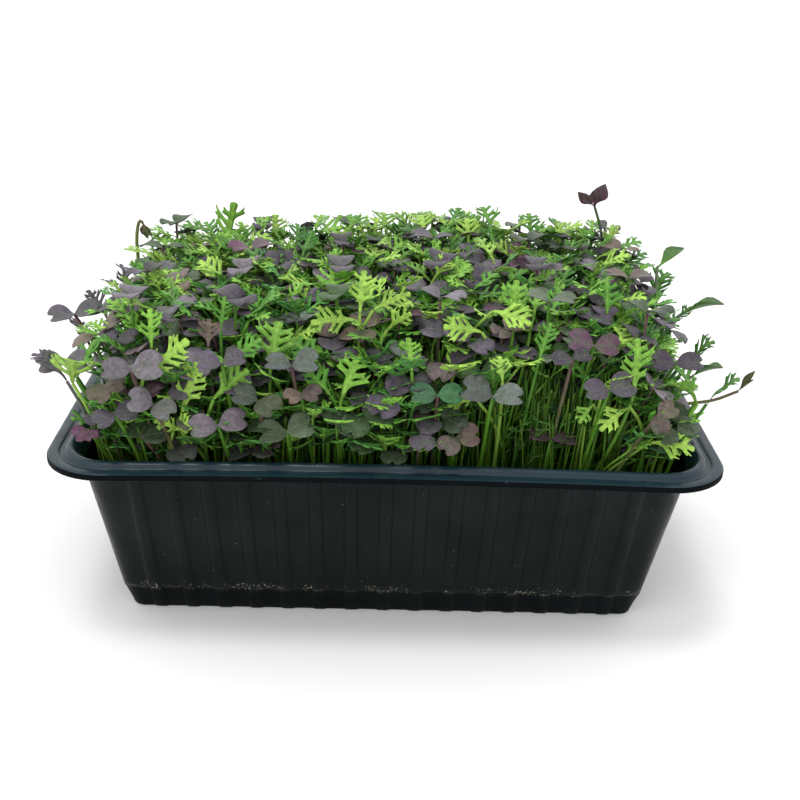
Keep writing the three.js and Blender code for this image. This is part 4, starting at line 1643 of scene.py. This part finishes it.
    @staticmethod
    def opened(at: np.ndarray, along: np.ndarray, facing: float) -> np.ndarray:
        """The direction across a leaf that is turned with its face mostly to the camera.

        Args:
            at: where the leaf is.
            along: the direction along it.
            facing: the way it faces, in radians.

        Returns:
            The direction across it.
        """
        level = aside(facing)
        full = unit(np.cross(unit(vec(*CAMERA_PLACE) - at), along))
        full = full if float(np.dot(full, level)) > 0 else -full
        return unit(full * 0.7 + level * 0.3)

    def plant_showpieces(self, showpieces: list[Showpiece]) -> None:
        """Plants the seedlings that stand out in the stand.

        Args:
            showpieces: the seedlings, in the order of their draws.
        """
        for number, item in enumerate(showpieces):
            draw = Draw(SHOWPIECE_SEED + number)
            at = vec(*item.at)
            kind = Kind.MIZUNA if item.leaf == "cut" else Kind.MUSTARD
            bundle = self.bundles[self.clump_near(kind, at[0], at[1])]
            facing = math.radians(item.facing)
            slope = math.radians(item.rise)
            if kind is Kind.MIZUNA:
                rise = item.size * math.sin(slope)
                out = toward(facing) * math.cos(slope) + vec(0, 0, math.sin(slope))
                base = at - out * item.size * 0.5
                way = unit(self.leaf_way(facing, item.size, rise, 0.1) + vec(0, 0, 0.9))
                bundle.stem(self.canopy.stem_to(base, draw, way), self.show_radii,
                            (Tint.STEM_DEEP.rgb, item.tint.rgb * 0.8), steps=8)
                self.cut_leaf(bundle, base, facing, item.size, rise, 0.1, draw, item.tint, self.fine_cuts, False,
                              self.opened(at, out, facing))
            else:
                self.mustard_stem(bundle, self.canopy.stem_to(at, draw), draw, 1.2)
                axes = Matrix.Rotation(slope, 3, "X") @ Matrix.Rotation(facing, 3, "Z")
                self.seed_pair(bundle, at, axes, item.size * 0.8, draw, item.tint, draw.between(0.2, 0.8),
                               math.radians(item.spread), self.fine_hearts, 0.8)
            self.taken[kind].append(at)
            self.showpieces.append((at, item.size))

    def _hides(self, x: float, y: float, z: float) -> bool:
        """Whether a leaf at a place would stand in or before a showpiece, seen from the camera.

        Args:
            x, y, z: the leaf's place.

        Returns:
            Whether it would.
        """
        eye = vec(*CAMERA_PLACE)
        here = vec(x, y, z) - eye
        far = np.linalg.norm(here)
        for at, size in self.showpieces:
            there = at - eye
            reach = np.linalg.norm(there)
            if far < reach + 4 and np.linalg.norm(np.cross(here, there)) / far < size * 0.5 + 2.5:
                return True
        return False

    def _clear(self, kind: Kind, place: np.ndarray, gap: float) -> bool:
        """Whether a place is far enough from the other leaves of its kind."""
        others = self.taken[kind]
        return not others or float(np.min(np.linalg.norm(np.array(others) - place, axis=1))) > gap

    def _open_front(self, x: float, y: float, z: float) -> bool:
        """Whether a place is in the gap at the front right, where only stems show."""
        return 20 < x < 84 and y < -38 and z < 94 - 0.1 * abs(x - 50)

    def plant_fill(self) -> None:
        """Fills the stand with further seedlings, each clear of the others of its kind."""
        draw = Draw(FILL_SEED)
        rounds = (("filling mustard seedlings", self.mustard_extra, lambda: self._try_place(Kind.MUSTARD, draw)),
                  ("filling mizuna seedlings", self.mizuna_extra, lambda: self._try_place(Kind.MIZUNA, draw)),
                  ("filling low seedlings round the edge", self.edge_extra, lambda: self._try_edge(draw)))
        for what, count, attempt in rounds:
            log.info("%s: %d", what, self._plant_many(count, attempt))
        for _ in range(self.sprigs):
            x = draw.between(14, 92) if draw() < 0.45 else draw.between(-96, 14)
            self._fill_sprig(vec(x, draw.between(-60, -44), draw.between(64, 86)), draw)
        for _ in range(self.bare_stems):
            self._fill_stem(draw)

    @staticmethod
    def _plant_many(count: int, attempt: Callable[[], bool]) -> int:
        """Plants seedlings until there are enough of them or the tries run out.

        Args:
            count: how many there should be.
            attempt: tries one place and says whether a seedling was planted there.

        Returns:
            How many were planted.
        """
        planted = 0
        for _ in range(count * TRIES_PER_SEEDLING):
            if planted == count:
                break
            planted += attempt()
        return planted

    def _try_place(self, kind: Kind, draw: Draw) -> bool:
        """Plants a seedling at the next place in the stand, if it is free.

        Args:
            kind: the kind of seedling.
            draw: the draw of places and small differences.

        Returns:
            Whether one was planted.
        """
        lift, drop, power, gap = self.filling[kind]
        x = draw.between(-1, 1) * self.canopy.half_length
        y = draw.between(-1, 1) * self.canopy.half_depth
        at = vec(x, y, max(self.canopy.height(x, y) + lift - drop * draw() ** power, self.canopy.lowest))
        if not self.canopy.inside(x, y) or not self._clear(kind, at, gap):
            return False
        if self._open_front(*at) or self._hides(*at) or (kind is Kind.MUSTARD and y < -44 and draw() < 0.4):
            return False
        self._fill(kind, at, draw)
        return True

    def _try_edge(self, draw: Draw) -> bool:
        """Plants a seedling of either kind, lower down at the stand's edge, if the next place is free.

        Args:
            draw: the draw of places and small differences.

        Returns:
            Whether one was planted.
        """
        x, y = self._edge_place(draw)
        top = self.canopy.height(x, y)
        low = top - 12 if y > 20 and abs(x) < 84 else 65.0 if abs(y) < 58 and abs(x) < 97 else 71.0
        at = vec(x, y, draw.between(low, top))
        kind = Kind.MUSTARD if draw() < (0.18 if y < 0 else 0.45) else Kind.MIZUNA
        if not self._clear(kind, at, self.edge_gap[kind]) or self._hides(*at):
            return False
        self._fill(kind, at, draw)
        return True

    def _fill(self, kind: Kind, at: np.ndarray, draw: Draw) -> None:
        """Plants a seedling of a kind whose leaves open at a place."""
        (self._fill_pair if kind is Kind.MUSTARD else self._fill_cut)(at, draw)

    def _edge_place(self, draw: Draw) -> tuple[float, float]:
        """A place near the edge of the stand, most often at the front and never at its bare right half."""
        side = draw()
        for share, across, deep in self.edge_strips:
            if side < share:
                return draw.between(*across), draw.between(*deep)
        return math.copysign(draw.between(84, 100), draw() - 0.5), draw.between(-50, 60)

    def _outward(self, x: float, y: float, draw: Draw) -> float:
        """A way to face that leans out of the stand near its edges."""
        pull_x = (x / 106) ** 3 * 2.2
        pull_y = (y / 66) ** 3 * 2.0 - 0.25
        return math.atan2(pull_y + draw.between(-1, 1), pull_x + draw.between(-1, 1))

    def _fill_pair(self, at: np.ndarray, draw: Draw) -> None:
        """Plants a mustard seedling whose leaves open at a place.

        Args:
            at: where its leaves open.
            draw: the draw of small differences.
        """
        bundle = self.bundles[self.clump_near(Kind.MUSTARD, at[0], at[1])]
        self.mustard_stem(bundle, self.canopy.stem_to(at, draw), draw, draw.between(0.75, 1.1))
        lean = self._outward(at[0], at[1], draw)
        edge = max(abs(at[0]) / 112, abs(at[1]) / 70)
        tilt = draw.between(0.05, 0.35) + 0.45 * edge ** 4
        axes = (Matrix.Rotation(tilt, 3, Vector((-math.sin(lean), math.cos(lean), 0.0)))
                @ Matrix.Rotation(draw.between(0, math.pi), 3, "Z"))
        near = min(1.0, max(0.0, (20 - at[1]) / 80))
        low = at[1] < -40 and at[2] < 83
        tint = Tint.DEEP_GREEN if low and draw() < 0.45 else draw.pick(*MUSTARD_TINTS)
        # Low seedlings at the front get painted shade: a gain of 0.65.
        self.seed_pair(bundle, at, axes, draw.between(6.2, 9.2) + 1.6 * near, draw, tint,
                       draw.between(0.15, 0.8), math.radians(draw.between(110, 185)), gain=0.65 if low else 1.0)
        self.taken[Kind.MUSTARD].append(at)

    def _fill_cut(self, at: np.ndarray, draw: Draw) -> None:
        """Plants a mizuna seedling with one or two leaves at a place.

        Args:
            at: where its leaves open.
            draw: the draw of small differences.
        """
        bundle = self.bundles[self.clump_near(Kind.MIZUNA, at[0], at[1])]
        length = draw.between(8.5, 16)
        facing = self._outward(at[0], at[1], draw)
        rise = length * draw.between(0.25, 0.8)
        base = at - vec(math.cos(facing) * length * 0.4, math.sin(facing) * length * 0.4, rise * 0.6)
        depth = self.canopy.height(at[0], at[1]) - at[2]
        weights = [0.2, 0.36, 0.28, 0.06, 0.1] if depth < 6 else [0.02, 0.16, 0.36, 0.3, 0.16]
        tint = draw.pick(MIZUNA_TINTS[0], weights)
        low = draw.pick(*STEM_TINTS).rgb
        arch = draw.between(0.05, 0.22)
        way = self.leaf_way(facing, length, rise, arch)
        bundle.stem(self.canopy.stem_to(base, draw, way), self.fill_radii, (low, tint.rgb), steps=5)
        models = self.forked_cuts if depth < 5 else self.cuts
        self.cut_leaf(bundle, base, facing, length, rise, arch, draw, tint, models)
        if draw() < 0.45:
            side = facing + draw.between(1.2, 2.6) * (1 if draw() < 0.5 else -1)
            self.cut_leaf(bundle, base, side, length * 0.8, rise * 0.7, 0.15, draw, tint, self.cuts)
        self.taken[Kind.MIZUNA].append(at)

    def _fill_sprig(self, at: np.ndarray, draw: Draw) -> None:
        """Adds a small dim leaf among the bare stems.

        Args:
            at: where it starts.
            draw: the draw of small differences.
        """
        bundle = self.bundles[self.clump_near(Kind.MIZUNA, at[0], at[1])]
        facing = self._outward(at[0], at[1], draw)
        length = draw.between(4.5, 8)
        tint = Tint.FERN if draw() < 0.6 else Tint.STEM_DEEP
        way = self.leaf_way(facing, length, length * 0.5, 0.1)
        low = Tint.STEM_DEEP.rgb
        bundle.stem(self.canopy.stem_to(at, draw, way), self.sprig_radii, (low, low), sides=4, steps=4)
        self.cut_leaf(bundle, at, facing, length, length * 0.5, 0.1, draw, tint, self.cuts)

    def _fill_stem(self, draw: Draw) -> None:
        """Adds a stem that ends among the leaves, more of them along the front.

        Args:
            draw: the draw of places and small differences.
        """
        x = draw.between(-94, 94)
        y = draw.between(-54, 54) if draw() < 0.4 else draw.between(-55, -38)
        root = vec(x, y, SOIL_TOP - 1)
        top_x = x * 1.04 + draw.between(-6, 6)
        top_y = y * 1.04 + draw.between(-4, 4)
        top = vec(top_x, top_y, self.canopy.height(top_x, top_y) - draw.between(6, 16))
        bend = (root + top) / 2 + vec(draw.between(-4, 4), draw.between(-2, 3), 0)
        low = draw.pick(*STEM_TINTS).rgb * draw.between(0.6, 0.9)
        thick = draw.between(0.35, 0.65)
        bundle = self.bundles[self.clump_near(Kind.MIZUNA if draw() < 0.5 else Kind.MUSTARD, x, y)]
        bundle.stem(Arc(root, bend, top), (thick, thick * 0.75), (low, low * 0.9), sides=4, steps=4)

    def build(self) -> list[bpy.types.Object]:
        """Makes a piece of each clump's seedlings, in place of its node.

        Returns:
            The pieces, mustard first.
        """
        skins = [skin.material() for skin in (MUSTARD_SKIN, MIZUNA_SKIN, StemSkin())]
        pieces = []
        for clump in [*self.planting.mustard, *self.planting.mizuna]:
            name = f"{clump.kind.value}_seedlings_{clump.row + 1}_{clump.column + 1}"
            piece = self.bundles[clump.node].piece(name, skins)
            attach(piece, BODY)
            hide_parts(clump.node)
            pieces.append(piece)
        return pieces


SHOWPIECES = [Showpiece(*row) for row in (
    ("heart", (-83.5, -62, 95.4), 12.6, 8, 34, Tint.MAUVE_GREY),
    ("heart", (-55.5, -66, 78.4), 12.8, 12, 30, Tint.MAUVE_GREY),
    ("heart", (-33.2, -65, 76), 11.6, 18, 26, Tint.SAGE),
    ("heart", (-42.4, -66, 87.6), 10.5, -30, 30, Tint.DEEP_GREEN, 150),
    ("heart", (-54.2, -62, 98.4), 10.5, 10, 24, Tint.DUSK),
    ("heart", (-76.2, -66, 85.1), 11.0, -25, 36, Tint.MAUVE_GREY, 150),
    ("heart", (-89.4, -65, 81.8), 10.5, 30, 32, Tint.DUSK, 140),
    ("heart", (-99.4, -60, 73.2), 6.5, -10, 38, Tint.MAGENTA, 90),
    ("heart", (-92.8, -60, 89.4), 9.0, 40, 40, Tint.ROSE_BROWN, 110),
    ("heart", (-110, -42, 90.4), 12.0, 5, 34, Tint.MAUVE_GREY, 150),
    ("heart", (-112.5, -15, 97.5), 12.0, 20, 22, Tint.DUSK, 160),
    ("cut", (-73, -57, 97.5), 20, 12, 40, Tint.BRIGHT),
    ("cut", (-65.1, -60, 89.1), 18, 20, 70, Tint.BRIGHT),
    ("cut", (-72.6, -62, 76.2), 10, 200, 30, Tint.BRIGHT),
    ("cut", (-67.6, -62, 76.2), 9, -20, 34, Tint.BRIGHT),
    ("cut", (-51.7, -60, 90.5), 15, 15, 38, Tint.LIME),
    ("cut", (-47.2, -54, 100.2), 13, 20, 36, Tint.LEAF_GREEN),
    ("cut", (-38.2, -50, 101), 16, 64, 68, Tint.LIME),
    ("cut", (-60.4, -46, 103.1), 10, 90, 58, Tint.ROSE_BROWN),
    ("cut", (-79.6, -46, 104), 14, 100, 72, Tint.LIME),
    ("cut", (-56.6, -38, 107.2), 12, 80, 62, Tint.LEAF_GREEN),
    ("cut", (-38.8, -60, 78.6), 10, 60, 40, Tint.FERN),
    ("cut", (-19.3, -40, 106), 15, 186, -4, Tint.BRIGHT),
    ("cut", (-9.8, -34, 114.9), 15, 80, 64, Tint.BRIGHT),
    ("cut", (0.4, -36, 112.2), 14, 8, 24, Tint.BRIGHT),
    ("cut", (2.9, -42, 107.3), 12, -30, 40, Tint.BRIGHT),
    ("cut", (-13, -56, 92.3), 15, 50, 58, Tint.LIME),
    ("cut", (-28.2, -50, 98.8), 12, 150, 28, Tint.LEAF_GREEN),
    ("cut", (-23.8, -56, 90.6), 13, 160, 40, Tint.LEAF_GREEN),
    ("heart", (-32.1, -57, 96.4), 11.4, 5, 26, Tint.SLATE),
    ("heart", (-28.9, -61, 88.6), 8.5, 12, 30, Tint.ROSE_BROWN, 120),
    ("cut", (6.7, -50, 98.6), 12, 100, 50, Tint.LIME),
    ("heart", (15.9, -60, 88.4), 11.0, 0, 28, Tint.EMERALD),
    ("heart", (22.4, -66, 76.1), 9.5, 30, 40, Tint.ROSE_BROWN, 130),
    ("cut", (24.1, -60, 86), 10, 200, -8, Tint.BRIGHT),
    ("cut", (24.2, -46, 106.4), 14, 196, 12, Tint.BRIGHT),
    ("heart", (33.5, -65, 90.3), 12.4, -14, 24, Tint.SLATE),
    ("cut", (36.4, -58, 97.6), 9, 100, 50, Tint.BRIGHT),
    ("cut", (41, -40, 109), 14, -12, -14, Tint.BRIGHT),
    ("cut", (42.4, -34, 113.2), 14, 84, 70, Tint.LIME),
    ("cut", (51.9, -46, 102.9), 14, 60, 54, Tint.LEAF_GREEN),
    ("heart", (59.9, -57, 101.2), 9.0, 20, 22, Tint.PLUM),
    ("heart", (67.7, -50, 103.4), 11.0, -10, 30, Tint.MAGENTA),
    ("heart", (71.6, -63, 92.7), 11.0, 15, 34, Tint.DUSK),
    ("cut", (80.6, -58, 99.4), 19, 84, 76, Tint.LIME),
    ("cut", (74.7, -62, 82.4), 13, 205, -32, Tint.BRIGHT),
    ("cut", (65.4, -60, 83), 8, 220, -40, Tint.LIME),
    ("cut", (76, -22, 110.6), 13, 90, 60, Tint.LEAF_GREEN),
    ("cut", (95.3, -60, 72), 15, -10, -4, Tint.BRIGHT),
    ("heart", (88.6, -62, 84), 9.5, 60, 40, Tint.ROSE_BROWN, 120),
    ("heart", (96, -48, 96.9), 11.5, 0, 26, Tint.PLUM),
    ("heart", (97.5, -56, 75.4), 10, 25, 30, Tint.SAGE),
)]


@dataclass(frozen=True)
class Station:
    """One ring of the tray's section: its height, how far in from the rim, and how high the ribs stand there."""

    height: float
    inset: float
    rib: float = 0.0


@dataclass
class FormedTray:
    """The tray: one formed sheet, drawn up ring by ring from under its foot, over the flange and down inside."""

    rib_profile: tuple[tuple[float, float], ...] = (
        (-1.0, 0.0), (-0.88, 0.13), (-0.73, 0.66), (-0.57, 0.94), (0.0, 1.03), (0.57, 0.94), (0.73, 0.66),
        (0.88, 0.13), (1.0, 0.0))
    corner_points: int = 13
    short_ribs: float = 0.6
    smooth_angle: float = 38.0
    foot_top: float = 10.2
    foot_top_inset: float = 20.98
    ledge_top: float = 12.9
    ledge_drop: float = 0.36
    wall_taper: float = 0.18
    shoulder: float = 55.0
    lean_in: float = 1.0
    rim_start: float = 61.2
    lip_top: float = 64.7
    finish: FormedPlastic = FormedPlastic()
    rim_finish: FormedPlastic = FormedPlastic("rim_plastic", smooth=0.3, gloss=0.34)
    # Painted shade: the foot below the ledge takes darker copies of the wall's colours, for the shade low on the tray.
    foot_shaded_finish: FormedPlastic = FormedPlastic("foot_plastic_painted_shade", smooth=0.45, gloss=0.07, deep=srgb(6, 10, 11),
                                               worn=srgb(12, 18, 19))
    # Painted shade: the lip's outer face takes darker copies of the plastic's colours, for the shade under the rim.
    shaded_finish: FormedPlastic = FormedPlastic("shaded_plastic", smooth=0.5, gloss=0.03, deep=srgb(5, 8, 9),
                                                 worn=srgb(9, 13, 14), flange=srgb(9, 14, 17))
    # The section: each ring's height, its inset from the rim and its share of a rib.
    stations: tuple[Station, ...] = tuple(Station(*row) for row in (
        (0.9, 30.0), (0.8, 26.0), (0.0, 25.0), (0.0, 23.8, 0.2), (0.3, 23.1, 0.5), (0.9, 22.8, 0.66),
        (4.6, 21.95, 0.74), (7.6, 21.3, 0.78), (8.8, 20.98, 0.8), (9.4, 20.7, 0.82), (10.0, 20.25, 0.85),
        (10.5, 19.95, 0.9), (11.0, 19.74, 0.95), (12.8, 19.34, 1.0), (28.0, 16.6, 1.0), (44.0, 13.75, 1.0),
        (55.4, 11.72, 1.0), (57.0, 11.43, 0.98), (58.2, 11.2, 0.86), (58.9, 11.1, 0.6), (59.3, 11.03, 0.25),
        (59.5, 11.0), (60.2, 10.5), (60.9, 9.7), (61.4, 9.45), (63.6, 9.2), (64.0, 8.9), (64.1, 8.2), (64.1, 2.2),
        (64.0, 1.3), (63.6, 0.95), (62.9, 0.9), (62.8, 0.3), (63.0, 0.0), (64.5, 0.0), (64.9, 0.25), (65.1, 0.8),
        (65.1, 3.0), (64.9, 3.7), (64.55, 4.2), (64.5, 4.8), (64.8, 5.3), (65.6, 5.8), (66.2, 6.4), (66.4, 7.1),
        (66.4, 7.7), (66.15, 8.4), (65.6, 8.9), (64.4, 9.5), (62.0, 10.35), (60.9, 11.2), (60.0, 11.95),
        (59.2, 12.1, 0.2), (58.6, 12.2, 0.6), (57.4, 12.45, 0.88), (55.0, 12.9, 0.9), (40.0, 15.6, 0.9),
        (25.0, 18.3, 0.9), (13.0, 20.45, 0.9), (11.4, 20.75, 0.5), (10.8, 20.9), (9.4, 22.4), (8.8, 22.75),
        (3.6, 23.6), (1.2, 25.0), (1.0, 30.0),
    ))

    @staticmethod
    def corner_radius(inset: float) -> float:
        """The corner radius at an inset from the rim."""
        if inset < COLLAR_INSET:
            return RIM_CORNER_RADIUS - inset / COLLAR_INSET * (RIM_CORNER_RADIUS - WALL_CORNER_RADIUS)
        share = (inset - COLLAR_INSET) / (FOOT_INSET - COLLAR_INSET)
        return max(WALL_CORNER_RADIUS - share * (WALL_CORNER_RADIUS - FOOT_CORNER_RADIUS), 1.5)

    def _side(self, count: int, inset: float, half: float) -> list[tuple[float, float]]:
        """Places along one straight side and how far the rib stands out at each, as shares.

        Args:
            count: the number of ribs on the side.
            inset: how far in from the rim the side is.
            half: half of its straight length.

        Returns:
            A place and a rib share for each point.
        """
        pitch = min(RIB_PITCH - RIB_PITCH_TAPER * (inset - COLLAR_INSET), 2 * half / count)
        places = []
        for k in range(count):
            centre = (k - (count - 1) / 2) * pitch
            places += [(centre + share * RIB_WIDTH / 2, rise) for share, rise in self.rib_profile]
        return places

    def _short_shares(self) -> np.ndarray:
        """How much each point of a ring belongs to the tray's short sides.

        Returns:
            A share from 0 to 1 for each point.
        """
        shares = []
        for quarter in range(4):
            short = quarter % 2
            shares += [float(short)] * ((RIBS_LONG_SIDE, RIBS_SHORT_SIDE)[short] * len(self.rib_profile))
            for n in range(self.corner_points):
                share = n / (self.corner_points - 1)
                ease = min(1.0, max(0.0, ((1 - share if short else share) - 0.3) / 0.45))
                shares.append(ease * ease * (3 - 2 * ease))
        return np.array(shares)

    def ring(self, station: Station) -> np.ndarray:
        """The points round the tray at one station, in millimetres.

        On the short sides the ledge runs lower, and the wall leans in a little further.

        Args:
            station: the ring of the tray's section.

        Returns:
            A row for each point.
        """
        ring = self._ring(station)
        if station.height > self.shoulder:
            return ring
        extra, drop = self.lean_in * (1 - station.height / self.shoulder), 0.0
        if station.height < self.ledge_top and station.rib > 0.6:
            drop = self.ledge_drop * station.height
            extra += max(0.0, min(self.wall_taper * drop, self.foot_top_inset - station.inset))
        short = self._ring(Station(station.height - drop, station.inset + extra, station.rib))
        share = self._short_shares()[:, None]
        return ring * (1 - share) + short * share

    def _ring(self, station: Station) -> np.ndarray:
        """The points round the tray at one station that is the same on all sides.

        Args:
            station: the ring of the tray's section.

        Returns:
            A row for each point.
        """
        radius = self.corner_radius(station.inset)
        length = TRAY_LENGTH / 2 - station.inset
        depth = TRAY_DEPTH / 2 - station.inset
        points = []
        sides = ((RIBS_LONG_SIDE, length, depth, 1.0), (RIBS_SHORT_SIDE, depth, length, self.short_ribs))
        for quarter in range(4):
            count, along, out, share = sides[quarter % 2]
            turn = quarter * math.pi / 2
            c, s = round(math.cos(turn)), round(math.sin(turn))
            stand = RIB_HEIGHT * station.rib * share
            local = [(place, -out - rise * stand)
                     for place, rise in self._side(count, station.inset, along - radius)]
            for n in range(self.corner_points):
                angle = -math.pi / 2 + n / (self.corner_points - 1) * math.pi / 2
                local.append((along - radius + radius * math.cos(angle), -out + radius + radius * math.sin(angle)))
            points += [(x * c - y * s, x * s + y * c) for x, y in local]
        ring = np.array([(x, y, station.height) for x, y in points])
        if station.height > 60 and station.inset < COLLAR_INSET:
            ease = min(1.0, (COLLAR_INSET - station.inset) / 2)
            ring[:, 2] -= RIM_DROOP * (ring[:, 0] / (TRAY_LENGTH / 2)) ** 2 * ease
        return ring

    def look_of(self, face: bpy.types.MeshPolygon) -> int:
        """Which of the tray's materials a face has: the wall's 0, the rim's 1, the lip's 2 or the foot's 3; the lip's
        and the foot's are darker as painted shade.

        Args:
            face: the face.

        Returns:
            The number of its material.
        """
        x, y, z = face.center / MM
        level = z + RIM_DROOP * (x / (TRAY_LENGTH / 2)) ** 2
        lip = face.normal.x * x + face.normal.y * y > 0 and abs(face.normal.z) < 0.6
        if level < self.foot_top:
            return 3
        if lip and self.rim_start < level < self.lip_top:
            return 2
        return int(level > self.rim_start)

    def build(self) -> bpy.types.Object:
        """Makes the tray, drawn up ring by ring from a disc.

        Returns:
            The tray.
        """
        first = self.ring(self.stations[0])
        Tools.clear()
        bpy.ops.mesh.primitive_circle_add(vertices=len(first), radius=0.08, fill_type="NGON")
        piece = bpy.context.object
        piece.name = "formed_tray"
        mesh = Tools.edit(piece)
        around = mesh.verts.layers.int.new("around")
        for k, vertex in enumerate(sorted(mesh.verts, key=lambda v: math.atan2(v.co.y, v.co.x))):
            vertex[around] = k
        bmesh.update_edit_mesh(piece.data)
        turn = int(np.argmin(np.arctan2(first[:, 1], first[:, 0])))
        bpy.ops.mesh.select_all(action="SELECT")
        for k, station in enumerate(self.stations):
            if k:
                bpy.ops.mesh.extrude_region_move()
            ring = np.roll(self.ring(station), -turn, axis=0) * MM
            mesh = bmesh.from_edit_mesh(piece.data)
            around = mesh.verts.layers.int["around"]
            for vertex in mesh.verts:
                if vertex.select:
                    vertex.co = ring[vertex[around]]
            bmesh.update_edit_mesh(piece.data)
        bpy.ops.mesh.select_all(action="SELECT")
        bpy.ops.mesh.normals_make_consistent(inside=False)
        Tools.done(piece)
        Tools.clear()
        piece.select_set(True)
        bpy.context.view_layer.objects.active = piece
        bpy.ops.object.shade_smooth_by_angle(angle=math.radians(self.smooth_angle))
        for finish in (self.finish, self.rim_finish, self.shaded_finish, self.foot_shaded_finish):
            piece.data.materials.append(finish.material())
        for face in piece.data.polygons:
            face.material_index = self.look_of(face)
        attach(piece, BODY)
        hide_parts("tray")
        return piece


@dataclass
class MediumCrust:
    """The loose top of the growing medium, level with the root plugs, and the medium's own look."""

    inset: float = 18.0
    radius: float = 9.0
    columns: int = 72
    rows: int = 42
    rise: float = 0.9
    lump: float = 1.1
    thickness: float = 2.0
    finish: PottingFibre = PottingFibre()

    def build(self) -> bpy.types.Object:
        """Makes the crust over the medium and gives the medium itself its finish.

        Returns:
            The crust.
        """
        Tools.clear()
        bpy.ops.mesh.primitive_grid_add(x_subdivisions=self.columns, y_subdivisions=self.rows, size=1.0)
        piece = bpy.context.object
        piece.name = "soil_crust"
        half_x = (TRAY_LENGTH / 2 - self.inset) * MM
        half_y = (TRAY_DEPTH / 2 - self.inset) * MM
        radius = self.radius * MM
        sheet = Tools.edit(piece)
        for vertex in sheet.verts:
            x, y = vertex.co.x * 2 * half_x, vertex.co.y * 2 * half_y
            over_x = max(abs(x) - (half_x - radius), 0.0)
            over_y = max(abs(y) - (half_y - radius), 0.0)
            reach = math.hypot(over_x, over_y)
            if reach > radius:
                x -= math.copysign(over_x * (1 - radius / reach), x)
                y -= math.copysign(over_y * (1 - radius / reach), y)
            lumps = noise.fractal(Vector((x, y, 0.0)) * 180, 1.0, 2.0, 4)
            vertex.co = (x, y, (SOIL_TOP + self.rise + self.lump * lumps) * MM)
        bmesh.update_edit_mesh(piece.data)
        Tools.done(piece)
        Tools.apply(piece, "SOLIDIFY", thickness=self.thickness * MM, offset=-1.0)
        material = self.finish.material()
        piece.data.materials.append(material)
        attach(piece, BODY)
        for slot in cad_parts["growing_medium"].material_slots:
            slot.material = material
        return piece


@dataclass
class Studio:
    """The plain pale floor, the soft lights and the camera."""

    place: Place = CAMERA_PLACE
    yaw: float = 1.3
    pitch: float = 23.31
    roll: float = 1.84
    lens: float = 55.45
    key_from: Place = (-0.14, -0.06, 1.0)
    key_strength: float = 0.7
    key_spread: float = 16.0
    surround: float = 1.15
    lean: float = 0.7
    paper: tuple[float, float] = (0.955, 0.97)

    def floor(self) -> None:
        """A wide pale floor."""
        Tools.clear()
        bpy.ops.mesh.primitive_plane_add(size=12.0, location=(0.0, 0.0, 0.0))
        plane = bpy.context.object
        plane.name = "studio_floor"
        desk = SkinDesk("studio_floor_paper")
        tone = desk.ramp(desk.noise(desk.place(), 3.0), 0.3, 0.7, *self.paper)
        plane.data.materials.append(desk.surface({"Base Color": desk.grey(tone), "Roughness": 0.9}))

    def lights(self) -> None:
        """A broad soft light from the upper left and a white surround."""
        data = bpy.data.lights.new("key", "SUN")
        data.energy = self.key_strength
        data.angle = math.radians(self.key_spread)
        lamp = bpy.data.objects.new("key", data)
        bpy.context.collection.objects.link(lamp)
        lamp.rotation_euler = (-Vector(self.key_from)).to_track_quat("-Z", "Y").to_euler()
        world = bpy.data.worlds.new("surround")
        bpy.context.scene.world = world
        world.use_nodes = True
        world.node_tree.nodes["Background"].inputs[0].default_value = (1.0, 1.0, 1.0, 1.0)
        self.shade_surround(world.node_tree)
        bpy.context.scene.view_settings.view_transform = "Standard"

    def shade_surround(self, tree: bpy.types.NodeTree) -> None:
        """Makes the surround brighter on the left and dimmer on the right, high up behind the camera.

        Args:
            tree: the surround's nodes.
        """
        desk = Desk(tree)
        way = desk.axes(desk.node("ShaderNodeTexCoord", {}).outputs["Generated"])
        sideways = desk.ramp(way["X"], -0.75, 0.75, self.lean, -self.lean, way="LINEAR")
        behind = desk.ramp(way["Y"], -0.1, -0.6, way="LINEAR")
        upper = desk.ramp(way["Z"], 0.1, 0.3, way="LINEAR")
        strength = desk.math("MULTIPLY_ADD", sideways, desk.times(behind, upper), self.surround)
        desk.put(strength, tree.nodes["Background"].inputs[1])

    def camera(self) -> None:
        """The camera at the photograph's place and angle."""
        yaw, pitch, roll = (math.radians(angle) for angle in (self.yaw, self.pitch, self.roll))
        forward = Vector((math.sin(yaw) * math.cos(pitch), math.cos(yaw) * math.cos(pitch), -math.sin(pitch)))
        right = Vector((math.cos(yaw), -math.sin(yaw), 0.0))
        up = right.cross(forward)
        across = right * math.cos(roll) + up * math.sin(roll)
        upward = -right * math.sin(roll) + up * math.cos(roll)
        data = bpy.data.cameras.new("camera")
        data.lens = self.lens
        data.sensor_width = SENSOR_WIDTH
        data.clip_start = 0.01
        made = bpy.data.objects.new("camera", data)
        bpy.context.collection.objects.link(made)
        turn = Matrix((across, upward, -forward)).transposed().to_4x4()
        made.matrix_world = Matrix.Translation(Vector(self.place) * MM) @ turn
        bpy.context.scene.camera = made

    def build(self) -> None:
        """Sets up the floor, the lights and the camera."""
        self.floor()
        self.lights()
        self.camera()


def main() -> None:
    """Builds the tray, the medium and the seedlings, then the studio round them."""
    logging.basicConfig(level=logging.INFO, format="%(name)s: %(message)s")
    tray = FormedTray().build()
    log.info("%s: %d faces", tray.name, len(tray.data.polygons))
    crust = MediumCrust().build()
    log.info("%s: %d faces", crust.name, len(crust.data.polygons))
    stand = Stand(Planting())
    stand.plant_frame()
    stand.plant_showpieces(SHOWPIECES)
    stand.plant_fill()
    for piece in stand.build():
        log.info("%s: %d faces", piece.name, len(piece.data.polygons))
    Studio().build()


if __name__ == "__main__":
    main()
